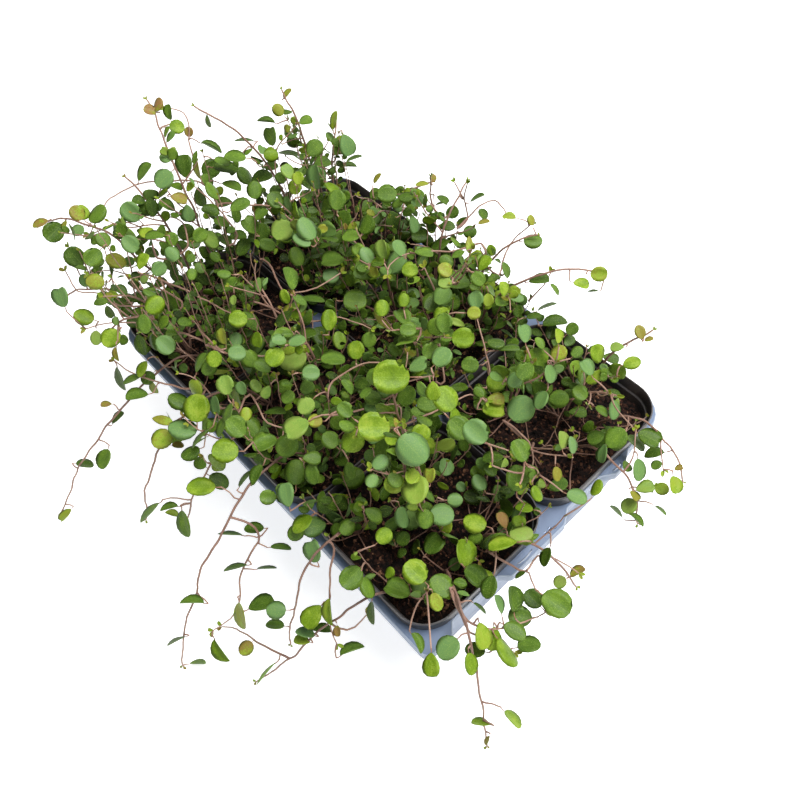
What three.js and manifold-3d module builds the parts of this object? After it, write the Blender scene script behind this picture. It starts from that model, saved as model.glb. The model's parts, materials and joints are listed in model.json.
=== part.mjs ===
// A carry tray of six square nursery pots, each filled with potting soil and planted with rooted cuttings
// of wire vine. Millimetres, +Z up. X runs along the tray, Y across it, and the origin is the middle of
// the tray's underside.
import * as THREE from "three";
import { mergeVertices } from "three/addons/utils/BufferGeometryUtils.js";
import Module from "manifold-3d";

const wasm = await Module();
wasm.setup();

// Layout of the pots
const PITCH = 91;
const COLUMNS = 3;
const ROWS = 2;

// Square nursery pot
const POT_RIM = 90;
const POT_RIM_CORNER = 18;
const POT_HEIGHT = 80;
const POT_BAND = 9;
const POT_BAND_FLARE = 0.3;
const POT_TOP = 86;
const POT_TOP_CORNER = 16;
const POT_FOOT = 66;
const POT_FOOT_CORNER = 12;
const POT_WALL = 0.9;
const POT_FLOOR = 1.4;
const POT_LEDGE = 1.2;
const POT_DRAIN_RADIUS = 5;
const POT_DRAIN_OFFSET = 18;

// Carry tray
const TRAY_DECK_TOP = 73.2;
const TRAY_SHEET = 1.6;
const TRAY_DECK = 2;
const TRAY_CELL = POT_TOP + 1;
const TRAY_CELL_CORNER = 17;
const TRAY_WALL_CORNER = 18;
const TRAY_FOOT_CORNER = 14;
const TRAY_WALL_INSET = 0.1;
const TRAY_LIP = 3;
const TRAY_FLANGE = 5;
const TRAY_LIP_CORNER = 5;
const TRAY_SKIRT = 6;
const TRAY_SKIRT_WALL = 1.6;
const TRAY_BOTTOM_INSET = 9.3;
const TRAY_DRAIN_RADIUS = 14;
const ROUND_SIDES = 12;

// Gap kept between pieces that rest on each other
const SEAT = 0.3;

const RIM_TOP = TRAY_DECK_TOP + SEAT + POT_BAND;
const POT_BASE = RIM_TOP - POT_HEIGHT;

// Potting soil
const SOIL_BELOW_RIM = 9;
const SOIL_CROWN = 1.5;
const SOIL_SHOULDER = 7;
const SOIL_TOP = RIM_TOP - SOIL_BELOW_RIM;
const ROOT_DEPTH = 7;

// Wire vine
const STEM_RADIUS = 0.8;
const STEM_SIDES = 5;
const STEM_STEP = 15;
const BARE_STEPS = 2;
const LEAF_LENGTH = 14;
const LEAF_WIDTH_SHARE = 0.86;
const LEAF_THICKNESS = 1.1;
const LEAF_SIDES = 6;
const CLEARANCE = 0.35;

// Each vine: its pot, where it is rooted from the pot's middle, where its tip ends in the tray's frame,
// the height that it arches to, and the height that it falls from where that is another.
const VINES = [
  { pot: 1, root: [-20, -30], tip: [71, -135, 14], arch: 112, fall: 100 },
  { pot: 1, root: [22, -33], tip: [72, -160, 6], arch: 128, fall: 30 },
  { pot: 1, root: [26, -12], tip: [180, -92, 8], arch: 114 },
  { pot: 1, root: [25, 8], tip: [164, -14, 66], arch: 106 },
  { pot: 1, root: [4, -2], tip: [90, -50, 150], arch: 138 },
  { pot: 1, root: [-20, 6], tip: [60, -33, 160], arch: 142 },

  { pot: 2, root: [-24, -14], tip: [-41, -152, 30], arch: 122 },
  { pot: 2, root: [0, -26], tip: [-14, -137, 40], arch: 114, fall: 100 },
  { pot: 2, root: [18, -20], tip: [36, -186, 6], arch: 118, fall: 104 },
  { pot: 2, root: [-22, 10], tip: [-54, -30, 128], arch: 124 },
  { pot: 2, root: [-13, -25], tip: [-44, -118, 78], arch: 110 },
  { pot: 2, root: [4, 8], tip: [-4, -40, 142], arch: 132 },

  { pot: 3, root: [-22, -10], tip: [-197, -94, 120], arch: 148 },
  { pot: 3, root: [-12, -22], tip: [-164, -110, 92], arch: 118 },
  { pot: 3, root: [-14, 14], tip: [-155, -14, 185], arch: 172 },
  { pot: 3, root: [-26, 4], tip: [-156, -42, 152], arch: 150 },
  { pot: 3, root: [2, -26], tip: [-104, -106, 108], arch: 122 },
  { pot: 3, root: [16, -18], tip: [-89, -189, 20], arch: 112, fall: 76 },

  { pot: 4, root: [8, 20], tip: [116, 88, 134], arch: 124 },
  { pot: 4, root: [24, 12], tip: [166, 74, 58], arch: 108 },
  { pot: 4, root: [26, -8], tip: [163, 40, 50], arch: 106 },
  { pot: 4, root: [-14, -14], tip: [88, 8, 140], arch: 130 },
  { pot: 4, root: [12, -24], tip: [124, -18, 124], arch: 118 },
  { pot: 4, root: [8, 2], tip: [124, 52, 122], arch: 116 },

  { pot: 5, root: [-18, 20], tip: [-27, 104, 130], arch: 124 },
  { pot: 5, root: [8, 24], tip: [32, 98, 130], arch: 126 },
  { pot: 5, root: [24, 14], tip: [70, 107, 126], arch: 128 },
  { pot: 5, root: [22, -20], tip: [46, -6, 146], arch: 136 },
  { pot: 5, root: [6, -2], tip: [30, 38, 140], arch: 130 },
  { pot: 5, root: [-20, -10], tip: [-26, 20, 132], arch: 126 },

  { pot: 6, root: [-20, -12], tip: [-139, 6, 180], arch: 164 },
  { pot: 6, root: [-20, 10], tip: [-132, 58, 165], arch: 154 },
  { pot: 6, root: [-2, 6], tip: [-104, 72, 152], arch: 138 },
  { pot: 6, root: [24, 18], tip: [-42, 91, 130], arch: 124 },
  { pot: 6, root: [0, 22], tip: [-59, 68, 110], arch: 116 },
  { pot: 6, root: [20, -16], tip: [-56, 8, 140], arch: 132 },
];

const trayPlastic = new THREE.MeshStandardMaterial({ color: 0x7c8da6, roughness: 0.5, metalness: 0 });
const potPlastic = new THREE.MeshStandardMaterial({ color: 0x26262b, roughness: 0.45, metalness: 0 });
const pottingSoil = new THREE.MeshStandardMaterial({ color: 0x2a1b16, roughness: 0.95, metalness: 0 });
const vineGreen = new THREE.MeshStandardMaterial({ color: 0x5f9a2c, roughness: 0.55, metalness: 0 });

// A solid of manifold-3d from a closed three.js geometry
function solid(geometry) {
  const bare = geometry.index ? geometry.toNonIndexed() : geometry.clone();
  bare.deleteAttribute("normal");
  bare.deleteAttribute("uv");
  const merged = mergeVertices(bare, 1e-4);
  return new wasm.Manifold(
    new wasm.Mesh({
      numProp: 3,
      vertProperties: merged.attributes.position.array,
      triVerts: new Uint32Array(merged.index.array),
    }),
  );
}

// A three.js geometry from a solid of manifold-3d
function geometryOf(made) {
  const mesh = made.getMesh();
  const geometry = new THREE.BufferGeometry();
  geometry.setAttribute("position", new THREE.BufferAttribute(mesh.vertProperties, 3));
  geometry.setIndex(new THREE.BufferAttribute(mesh.triVerts, 1));
  geometry.computeVertexNormals();
  return geometry;
}

function namedMesh(name, geometry, material) {
  const mesh = new THREE.Mesh(geometry, material);
  mesh.name = name;
  return mesh;
}

// The distinct points round a rounded rectangle, three segments to a corner
function ringPoints(width, depth, corner) {
  const points = [];
  const arcSegments = 3;
  const middles = [
    [width / 2 - corner, -depth / 2 + corner, -Math.PI / 2],
    [width / 2 - corner, depth / 2 - corner, 0],
    [-width / 2 + corner, depth / 2 - corner, Math.PI / 2],
    [-width / 2 + corner, -depth / 2 + corner, Math.PI],
  ];
  for (const [x, y, start] of middles) {
    for (let i = 0; i <= arcSegments; i += 1) {
      const angle = start + ((Math.PI / 2) * i) / arcSegments;
      points.push([x + corner * Math.cos(angle), y + corner * Math.sin(angle)]);
    }
  }
  return points;
}

// A closed solid through rounded rectangles, each { width, depth, corner, z }, from its first ring's cap
// along its walls to its last ring's cap
function loft(rings) {
  const positions = [];
  const triangles = [];
  for (const { width, depth, corner, z } of rings) {
    for (const [x, y] of ringPoints(width, depth, corner)) positions.push(x, y, z);
  }
  const count = positions.length / 3 / rings.length;
  for (let ring = 0; ring + 1 < rings.length; ring += 1) {
    for (let i = 0; i < count; i += 1) {
      const a = ring * count + i;
      const b = ring * count + ((i + 1) % count);
      triangles.push(a, b, b + count, a, b + count, a + count);
    }
  }
  const last = (rings.length - 1) * count;
  for (let i = 1; i + 1 < count; i += 1) {
    triangles.push(0, i + 1, i);
    triangles.push(last, last + i, last + i + 1);
  }
  const geometry = new THREE.BufferGeometry();
  geometry.setAttribute("position", new THREE.Float32BufferAttribute(positions, 3));
  geometry.setIndex(triangles);
  return geometry;
}

// A cylinder that stands upright, about its own middle
function upright(radius, height, sides, x, y, z) {
  const cylinder = new THREE.CylinderGeometry(radius, radius, height, sides);
  return cylinder.rotateX(Math.PI / 2).translate(x, y, z);
}

// The middle of each pot, numbered from the near end along the -Y side and then along the +Y side
function potMiddle(number) {
  const column = (number - 1) % COLUMNS;
  const row = Math.floor((number - 1) / COLUMNS);
  return new THREE.Vector3(
    PITCH * ((COLUMNS - 1) / 2 - column),
    PITCH * (row - (ROWS - 1) / 2),
    0,
  );
}

const POT_NUMBERS = Array.from({ length: COLUMNS * ROWS }, (_, i) => i + 1);
const HALF_LENGTH = (PITCH * COLUMNS) / 2;
const HALF_WIDTH = (PITCH * ROWS) / 2;

// Outline of the tray's deck. Its long sides are straight. Each end has a corner flange and two grip tabs
// with recesses between them, and a plain round corner at its other side. The far end repeats the near
// end turned half round, so that trays stack either way.
function deckOutline() {
  const inner = HALF_LENGTH;
  const outer = HALF_LENGTH + TRAY_FLANGE;
  const side = HALF_WIDTH + TRAY_LIP;
  const corner = TRAY_LIP_CORNER;
  const bevel = corner * (1 - Math.SQRT1_2);
  const plain = TRAY_WALL_CORNER;
  const plainBevel = plain * (1 - Math.SQRT1_2);
  const near = [
    [outer - corner, -side],
    [outer - bevel, -side + bevel],
    [outer, -side + corner],
    [outer, -77],
    [inner, -72],
    [inner, -41],
    [outer, -36],
    [outer, 3],
    [inner, 11],
    [inner, 36],
    [outer, 44],
    [outer, 51],
    [inner, 60],
    [inner, side - plain],
    [inner - plainBevel, side - plainBevel],
    [inner - plain, side],
  ];
  const far = near.map(([x, y]) => [-x, -y]);
  return [...near, ...far].map(([x, y]) => new THREE.Vector2(x, y));
}

function carryTray() {
  const outline = deckOutline();
  const deckShape = new THREE.Shape(outline);
  for (const number of POT_NUMBERS) {
    const { x, y } = potMiddle(number);
    const cell = ringPoints(TRAY_CELL, TRAY_CELL, TRAY_CELL_CORNER);
    deckShape.holes.push(new THREE.Path(cell.map(([u, v]) => new THREE.Vector2(u + x, v + y))));
  }
  const deck = new THREE.ExtrudeGeometry(deckShape, { depth: TRAY_DECK, bevelEnabled: false });
  deck.translate(0, 0, TRAY_DECK_TOP - TRAY_DECK);

  // The skirt hangs from the deck's edge
  const shrinkX = 1 - TRAY_SKIRT_WALL / (HALF_LENGTH + TRAY_FLANGE);
  const shrinkY = 1 - TRAY_SKIRT_WALL / (HALF_WIDTH + TRAY_LIP);
  const skirtShape = new THREE.Shape(outline);
  skirtShape.holes.push(
    new THREE.Path(outline.map((p) => new THREE.Vector2(p.x * shrinkX, p.y * shrinkY))),
  );
  const skirt = new THREE.ExtrudeGeometry(skirtShape, { depth: TRAY_SKIRT, bevelEnabled: false });
  skirt.translate(0, 0, TRAY_DECK_TOP - TRAY_SKIRT);

  // The tub below the deck, open at its top
  const top = TRAY_DECK_TOP - TRAY_DECK / 2;
  const length = 2 * (HALF_LENGTH - TRAY_WALL_INSET);
  const width = 2 * (HALF_WIDTH - TRAY_WALL_INSET);
  const taper = 2 * TRAY_BOTTOM_INSET;
  const wall = 2 * TRAY_SHEET;
  const tub = loft([
    { width: length - taper, depth: width - taper, corner: TRAY_FOOT_CORNER, z: 0 },
    { width: length, depth: width, corner: TRAY_WALL_CORNER, z: top },
    { width: length - wall, depth: width - wall, corner: TRAY_WALL_CORNER - 1, z: top },
    {
      width: length - taper - wall,
      depth: width - taper - wall,
      corner: TRAY_FOOT_CORNER - 1,
      z: TRAY_SHEET,
    },
  ]);
  let tray = solid(tub).add(solid(deck)).add(solid(skirt));

  // The cross walls between the cells follow the tub's taper
  const crossWall = (half, placed) => {
    const shape = new THREE.Shape();
    shape.moveTo(-half + TRAY_BOTTOM_INSET + TRAY_SHEET / 2, TRAY_SHEET / 2);
    shape.lineTo(half - TRAY_BOTTOM_INSET - TRAY_SHEET / 2, TRAY_SHEET / 2);
    shape.lineTo(half - TRAY_SHEET / 2, top);
    shape.lineTo(-half + TRAY_SHEET / 2, top);
    const geometry = new THREE.ExtrudeGeometry(shape, { depth: TRAY_SHEET, bevelEnabled: false });
    geometry.translate(0, 0, -TRAY_SHEET / 2).rotateX(Math.PI / 2);
    return solid(placed(geometry));
  };
  tray = tray.add(crossWall(length / 2, (g) => g));
  for (let i = 1; i < COLUMNS; i += 1) {
    const x = PITCH * (i - COLUMNS / 2);
    tray = tray.add(crossWall(width / 2, (g) => g.rotateZ(Math.PI / 2).translate(x, 0, 0)));
  }

  for (const number of POT_NUMBERS) {
    const { x, y } = potMiddle(number);
    tray = tray.subtract(solid(upright(TRAY_DRAIN_RADIUS, 4 * TRAY_SHEET, ROUND_SIDES, x, y, 0)));
  }
  return namedMesh("carry_tray", geometryOf(tray), trayPlastic);
}

// Outside width of a pot's body at a height above its base
function potWidthAt(height) {
  return POT_FOOT + ((POT_TOP - POT_FOOT) * height) / (POT_HEIGHT - POT_BAND);
}

function potCornerAt(height) {
  return POT_FOOT_CORNER + ((POT_TOP_CORNER - POT_FOOT_CORNER) * height) / (POT_HEIGHT - POT_BAND);
}

function pot(number) {
  const bandBottom = POT_HEIGHT - POT_BAND;
  const step = bandBottom + POT_LEDGE;
  const square = (width, corner, z) => ({ width, depth: width, corner, z });
  const inside = 2 * POT_WALL;
  const shell = loft([
    square(POT_FOOT, POT_FOOT_CORNER, 0),
    square(POT_TOP, POT_TOP_CORNER, bandBottom),
    square(POT_RIM - 2 * POT_BAND_FLARE, POT_RIM_CORNER, bandBottom),
    square(POT_RIM, POT_RIM_CORNER, POT_HEIGHT),
    square(POT_RIM - inside, POT_RIM_CORNER - POT_WALL, POT_HEIGHT),
    square(POT_RIM - inside - 2 * POT_BAND_FLARE, POT_RIM_CORNER - POT_WALL, step),
    square(POT_TOP - inside, POT_TOP_CORNER - POT_WALL, step),
    square(potWidthAt(POT_FLOOR) - inside, POT_FOOT_CORNER - POT_WALL, POT_FLOOR),
  ]);
  let made = solid(shell);
  for (const x of [-POT_DRAIN_OFFSET, POT_DRAIN_OFFSET]) {
    for (const y of [-POT_DRAIN_OFFSET, POT_DRAIN_OFFSET]) {
      made = made.subtract(solid(upright(POT_DRAIN_RADIUS, 4 * POT_FLOOR, ROUND_SIDES / 2, x, y, 0)));
    }
  }
  const mesh = namedMesh(`pot_${number}`, geometryOf(made), potPlastic);
  mesh.position.copy(potMiddle(number)).setZ(POT_BASE);
  return mesh;
}

// The hole in the soil that a vine's rooted end stands in
function rootSocket(vine) {
  const { path, steps } = vineRoute(vine);
  const foot = path.getPointAt(0);
  const along = path.getPointAt(1 / steps).sub(foot).normalize();
  const length = 2 * ROOT_DEPTH;
  const radius = STEM_RADIUS + 1.5 * SEAT;
  const hole = new THREE.CylinderGeometry(radius, radius, length, 6);
  hole.applyQuaternion(new THREE.Quaternion().setFromUnitVectors(new THREE.Vector3(0, 1, 0), along));
  const middle = foot.addScaledVector(along, length / 2 - SEAT);
  return hole.translate(middle.x, middle.y, middle.z);
}

function soil(number) {
  const gap = 2 * (POT_WALL + SEAT);
  const low = POT_FLOOR + SEAT;
  const high = SOIL_TOP - POT_BASE - SOIL_CROWN;
  const at = (height, inset, z) => ({
    width: potWidthAt(height) - gap - inset,
    depth: potWidthAt(height) - gap - inset,
    corner: potCornerAt(height) - POT_WALL - SEAT,
    z: POT_BASE + z,
  });
  const crown = at(high, 2 * SOIL_SHOULDER, high + SOIL_CROWN);
  const block = loft([at(low, 0, low), at(high, 0, high), crown]);
  const middle = potMiddle(number);
  let made = solid(block.translate(middle.x, middle.y, 0));
  for (const vine of VINES.filter((v) => v.pot === number)) {
    made = made.subtract(solid(rootSocket(vine)));
  }
  return namedMesh(`soil_${number}`, geometryOf(made), pottingSoil);
}

// A vine's route: up out of its root, over its arch and on to its tip
function vineRoute(vine) {
  const [rootX, rootY] = vine.root;
  const start = potMiddle(vine.pot).add(new THREE.Vector3(rootX, rootY, SOIL_TOP));
  const foot = start.clone().setZ(SOIL_TOP - ROOT_DEPTH);
  const end = new THREE.Vector3(...vine.tip);
  const rising = start.clone().lerp(end, 0.12).setZ(vine.arch);
  const falling = start.clone().lerp(end, 0.68).setZ(vine.fall ?? vine.arch);
  const climb = new THREE.CubicBezierCurve3(start, rising, falling, end);
  const steps = Math.round(climb.getLength() / STEM_STEP);
  const path = new THREE.CatmullRomCurve3([foot, ...climb.getSpacedPoints(steps)]);
  return { path, steps: steps + 1 };
}

function stem(vine) {
  const { path, steps } = vineRoute(vine);
  const round = new THREE.Shape();
  for (let i = 0; i < STEM_SIDES; i += 1) {
    const angle = (2 * Math.PI * i) / STEM_SIDES;
    const point = [STEM_RADIUS * Math.cos(angle), STEM_RADIUS * Math.sin(angle)];
    if (i === 0) round.moveTo(...point);
    else round.lineTo(...point);
  }
  return new THREE.ExtrudeGeometry(round, { steps, extrudePath: path, bevelEnabled: false });
}

// One leaf: a thin lens with its stalk end at the point, lying along outward and facing up
function leaf(point, outward, up, length, thickness) {
  const lens = new THREE.SphereGeometry(0.5, LEAF_SIDES, 2);
  lens.scale(length * LEAF_WIDTH_SHARE, thickness, length);
  lens.rotateY(Math.PI / LEAF_SIDES);
  const side = new THREE.Vector3().crossVectors(up, outward).normalize();
  const normal = new THREE.Vector3().crossVectors(outward, side).normalize();
  const frame = new THREE.Matrix4().makeBasis(side, normal, outward);
  frame.setPosition(point.clone().addScaledVector(outward, 0.5 * length - STEM_RADIUS));
  return lens.applyMatrix4(frame);
}

// A turn that varies from one leaf to the next, between -1 and 1
function sway(seed) {
  return Math.sin(seed * 12.9898) * Math.cos(seed * 4.1414);
}

// A vine's leaves stand alternately to its left and right, and the last one at its tip
function leafPlaces(vine, index) {
  const { path, steps } = vineRoute(vine);
  const places = [];
  for (let i = 0; i < steps - BARE_STEPS; i += 1) {
    const share = 1 - i / steps;
    const point = path.getPointAt(share);
    const along = path.getTangentAt(share);
    const up = new THREE.Vector3(0.3 * sway(index + i), 0.3 * sway(2 * index - i), 1).normalize();
    const across = new THREE.Vector3().crossVectors(up, along).normalize();
    const side = i % 2 ? 1 : -1;
    const outward = along.clone().multiplyScalar(i === 0 ? 1 : 0.5);
    if (i > 0) outward.addScaledVector(across, side);
    outward.addScaledVector(up, 0.25 * sway(3 * index + i)).normalize();
    const size = LEAF_LENGTH * (1 - 0.2 * Math.abs(sway(index * 5 + i)));
    places.push({ point, outward, up, size });
  }
  return places;
}

function touchesAny(made, others) {
  return others.some((other) => made.intersect(other).volume() > 0);
}

// A vine is one grown piece, its stem with its leaves. A leaf that a neighbour leaves no room for is left
// off.
function vines(neighbours) {
  const stems = VINES.map((vine) => solid(stem(vine)));
  const grown = [...stems];
  VINES.forEach((vine, index) => {
    const others = [...neighbours, ...grown.filter((_, i) => i !== index)];
    for (const { point, outward, up, size } of leafPlaces(vine, index)) {
      const room = solid(
        leaf(point, outward, up, size + 2 * CLEARANCE, LEAF_THICKNESS + 2 * CLEARANCE),
      );
      if (room.boundingBox().min[2] < 0.2 || touchesAny(room, others)) continue;
      grown[index] = grown[index].add(solid(leaf(point, outward, up, size, LEAF_THICKNESS)));
    }
  });
  return VINES.map((vine, index) => {
    const place = VINES.slice(0, index + 1).filter((v) => v.pot === vine.pot).length;
    const letter = String.fromCharCode("a".charCodeAt(0) + place - 1);
    return namedMesh(`vine_${vine.pot}${letter}`, geometryOf(grown[index]), vineGreen);
  });
}

const planter = new THREE.Group();
planter.add(carryTray());
for (const number of POT_NUMBERS) planter.add(pot(number), soil(number));
planter.updateMatrixWorld(true);
const holders = planter.children.map((mesh) =>
  solid(mesh.geometry.clone().applyMatrix4(mesh.matrixWorld)),
);
planter.add(...vines(holders));

export default planter;
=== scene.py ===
import json
import math
import random
from collections import namedtuple

import bpy
from mathutils import Matrix, Vector, noise
from mathutils.geometry import tessellate_polygon
from mathutils.kdtree import KDTree

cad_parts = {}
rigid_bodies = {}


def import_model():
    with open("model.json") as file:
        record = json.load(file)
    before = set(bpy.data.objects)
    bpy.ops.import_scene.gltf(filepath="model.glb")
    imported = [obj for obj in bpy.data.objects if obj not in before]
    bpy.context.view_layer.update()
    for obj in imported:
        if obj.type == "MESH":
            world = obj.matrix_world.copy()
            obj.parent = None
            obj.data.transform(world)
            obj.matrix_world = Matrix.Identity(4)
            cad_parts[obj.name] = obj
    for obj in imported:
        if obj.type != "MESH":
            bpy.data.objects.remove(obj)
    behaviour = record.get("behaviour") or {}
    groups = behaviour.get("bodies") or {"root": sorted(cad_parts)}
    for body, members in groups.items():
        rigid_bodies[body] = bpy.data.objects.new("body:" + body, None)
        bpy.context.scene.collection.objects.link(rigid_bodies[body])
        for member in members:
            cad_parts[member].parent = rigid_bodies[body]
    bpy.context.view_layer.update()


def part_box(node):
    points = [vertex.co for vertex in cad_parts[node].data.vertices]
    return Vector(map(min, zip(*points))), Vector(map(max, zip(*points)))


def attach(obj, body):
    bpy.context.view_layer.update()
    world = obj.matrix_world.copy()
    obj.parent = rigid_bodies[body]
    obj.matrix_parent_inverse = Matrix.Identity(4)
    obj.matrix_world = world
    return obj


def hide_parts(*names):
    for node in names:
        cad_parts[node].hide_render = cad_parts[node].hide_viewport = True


# A carry tray of six nursery pots, filled with potting soil and overgrown with wire vine.
# Lengths in this script are millimetres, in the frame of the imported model, and MM brings them to metres.

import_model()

MM = 0.001
UP = Vector((0, 0, 1))


def corners_of(node):
    low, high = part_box(node)
    return low / MM, high / MM


# What the frame gives
POTS = (1, 2, 3, 4, 5, 6)
POT_LOW, POT_HIGH = corners_of("pot_1")
RIM = POT_HIGH.x - POT_LOW.x
RIM_TOP = POT_HIGH.z
POT_BASE = POT_LOW.z
SOIL_TOP = corners_of("soil_1")[1].z
DECK_TOP = corners_of("carry_tray")[1].z


def pot_middle(number):
    low, high = corners_of(f"pot_{number}")
    middle = (low + high) / 2
    return Vector((middle.x, middle.y, 0))


MIDDLES = {number: pot_middle(number) for number in POTS}
PITCH = MIDDLES[1].x - MIDDLES[2].x
HALF_LENGTH = 1.5 * PITCH
HALF_WIDTH = PITCH

# Square nursery pot
RIM_CORNER = 18
POT_HEIGHT = RIM_TOP - POT_BASE
BAND = 9
BAND_FLARE = 0.3
POT_TOP = 86
POT_TOP_CORNER = 16
POT_FOOT = 66
POT_FOOT_CORNER = 12
POT_WALL = 0.9
POT_FLOOR = 1.4
LEDGE = 1.2
RIM_ROUND = 0.35
POT_DRAIN = 5
POT_DRAIN_OFFSET = 18
CORNER_SEGMENTS = 9
FILLET_SEGMENTS = 5
SMOOTH_BELOW = math.radians(38)

# Carry tray
SHEET = 1.6
DECK = 2
CELL = POT_TOP + 1
CELL_CORNER = 17
FLANGE = 5
SIDE_LIP = 3
SKIRT = 6
SKIRT_WALL = 1.6
LIP_WIDTH = 0.9
LIP_HEIGHT = 0.26
TUB_TOP_CORNER = 18
TUB_FOOT_CORNER = 14
TUB_INSET = 9.3
TRAY_DRAIN = 14
DRAIN_SIDES = 40
NOTCH_HALF = 7
NOTCH_DEPTH = 5.5
# How a notch's dip runs from one end to the other, and how deep it is from the tub's foot to its top
NOTCH_STATIONS = (-1.0, -0.72, -0.45, -0.2, 0.0, 0.2, 0.45, 0.72, 1.0)
TUB_LEVELS = [(0.0, 1.0), (0.02, 1.0), (0.35, 1.0), (0.7, 1.0), (0.85, 0.8), (0.95, 0.25), (1.0, 0.0)]
# The low bead round each drain: how far it stands out from the hole, and its height
DRAIN_BEAD = ((3.4, SHEET - 0.4), (2.9, SHEET + 0.6), (1.1, SHEET + 0.6), (0.6, SHEET - 0.4))
# The grip slots of the near end: x, y, length, width and bow
GRIP_SLOTS = ((138.6, -24, 11, 1.0, -0.7), (138.7, 47.5, 7, 0.9, -0.6))
# The drops of water on the near end's deck: x, y and radius
WATER_DROPS = ((137.6, -4.0, 1.2), (138.6, -1.6, 0.9), (137.2, -7.2, 0.7))
WATER_SIDES = 14
WATER_FLATNESS = 0.62

# The near end's outline from the -Y corner to the +Y corner: how far each point stands out from the
# tray's body, its Y, and how round its corner is
NEAR_END = [
    (FLANGE, -94, 5),
    (FLANGE, -77, 2),
    (0, -72, 2),
    (0, -41, 2),
    (FLANGE, -36, 3),
    (FLANGE, 3, 4),
    (0, 11, 4),
    (0, 36, 3),
    (FLANGE, 44, 3),
    (FLANGE, 51, 3),
    (0, 60, 3),
    (0, 94, 17),
]

# Camera, fitted to the rims of the pots in the photo
CAMERA_AT = Vector((214.6, -144.3, 436.0))
LOOKS_AT = Vector((31.45, -8.57, 82.5))
CAMERA_ROLL = math.radians(7.36)
LENS = 34.14
SENSOR = 36
PHOTO_MIDDLE = 400
FOCAL = 2 * PHOTO_MIDDLE * LENS / SENSOR
FORWARD = (LOOKS_AT - CAMERA_AT).normalized()
RIGHT = Matrix.Rotation(CAMERA_ROLL, 3, FORWARD) @ FORWARD.cross(UP).normalized()
DOWN = FORWARD.cross(RIGHT)


def rows_of(names, rows):
    """A table whose rows give their values by name."""
    row = namedtuple("row", names)
    return {key: row(*values) for key, values in rows.items()}


# Colours


def paint(hexadecimal, alpha=1.0):
    """A scene-linear colour from the six digits of a display colour."""
    shares = [int(hexadecimal[i : i + 2], 16) / 255 for i in (0, 2, 4)]
    linear = [s / 12.92 if s < 0.04045 else ((s + 0.055) / 1.055) ** 2.4 for s in shares]
    return (*linear, alpha)


LEAF_TINTS = [
    (0.00, "213305"),
    (0.25, "365007"),
    (0.50, "4c680b"),
    (0.70, "678413"),
    (0.84, "889f2e"),
    (0.93, "7e7828"),
    (1.00, "8a673e"),
]
LEAF_COOL = "648751"
LEAF_MARGIN = "a0b855"
LEAF_UNDERSIDE = "6f8c48"
LEAF_STALK = "97705a"
STEM_TINTS = [
    (0.0, "b3917c"),
    (0.45, "8a6858"),
    (1.0, "45322b"),
]
SOIL_TINTS = [
    (0.0, "050303"),
    (0.35, "19100d"),
    (0.65, "43291f"),
    (1.0, "946b50"),
]
# The edge colours of pot and tray are painted highlights along their rims and lip, not a colour of the
# plastic
POT_COLOUR = "121214"
POT_EDGE_HIGHLIGHT = "5a5658"
TRAY_COLOUR = "6c7e9c"
TRAY_EDGE_HIGHLIGHT = "c3cddb"
DUST_COLOUR = "54453a"

# Patterns in the finishes, by how many of their marks lie along a metre
LEAF_MOTTLE = 170.0
LEAF_CELLS = 1400.0
LEAF_DOTS = 2300.0
STEM_BLOTCHES = 260.0
SOIL_LUMPS = 420.0
SOIL_CRUMBS = 620.0
SOIL_WET = 70.0
LEAF_VEINS = 6.0


# Node trees


def feed(tree, node, inputs):
    """Sets or links each named input of a node."""
    for name, value in inputs.items():
        socket = next(s for s in node.inputs if name in (s.identifier, s.name))
        if isinstance(value, bpy.types.NodeSocket):
            tree.links.new(value, socket)
        else:
            socket.default_value = value


def add(tree, kind, inputs=None, **settings):
    """A new node, with its settings made and its named inputs fed."""
    made = tree.nodes.new(kind)
    for key, value in settings.items():
        setattr(made, key, value)
    feed(tree, made, inputs or {})
    return made


def outcome(node, identifier):
    return next(s for s in node.outputs if s.identifier == identifier)


def maths(tree, operation, *values, clamp=False):
    names = ("Value", "Value_001")
    inputs = dict(zip(names, values))
    return add(tree, "ShaderNodeMath", inputs, operation=operation, use_clamp=clamp).outputs[0]


def plus(tree, value, part, weight, clamp=False):
    """value with a weighted part added to it."""
    return maths(tree, "ADD", value, maths(tree, "MULTIPLY", part, weight), clamp=clamp)


def swing(tree, value, amount):
    """value, which lies round a half, as an amount that lies round zero."""
    return maths(tree, "MULTIPLY", maths(tree, "SUBTRACT", value, 0.5), amount)


def mixed(tree, share, first, second):
    inputs = {"Factor_Float": share, "A_Color": first, "B_Color": second}
    return outcome(add(tree, "ShaderNodeMix", inputs, data_type="RGBA"), "Result_Color")


def painted(tree, colour, over, mask, amount):
    """A colour with another laid over it where a mask is, as thick as the amount."""
    return mixed(tree, maths(tree, "MULTIPLY", mask, amount), colour, paint(over))


def spread(tree, value, low, high, to_low=0.0, to_high=1.0):
    """value from low..high to to_low..to_high, eased and held at both ends."""
    inputs = {"Value": value, "From Min": low, "From Max": high, "To Min": to_low, "To Max": to_high}
    node = add(tree, "ShaderNodeMapRange", inputs, interpolation_type="SMOOTHSTEP")
    return node.outputs["Result"]


def ramp(tree, value, stops):
    node = add(tree, "ShaderNodeValToRGB", {"Fac": value})
    elements = node.color_ramp.elements
    while len(elements) < len(stops):
        elements.new(0.5)
    for element, (at, colour) in zip(elements, stops):
        element.position = at
        element.color = paint(colour)
    return node.outputs["Color"]


def read(tree, name):
    return add(tree, "ShaderNodeAttribute", attribute_name=name).outputs["Fac"]


def object_coordinates(tree):
    return add(tree, "ShaderNodeTexCoord").outputs["Object"]


def noise_mask(tree, scale, detail=3.0, roughness=0.5, vector=None):
    inputs = {"Scale": scale, "Detail": detail, "Roughness": roughness}
    inputs["Vector"] = vector or object_coordinates(tree)
    return add(tree, "ShaderNodeTexNoise", inputs).outputs["Fac"]


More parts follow.
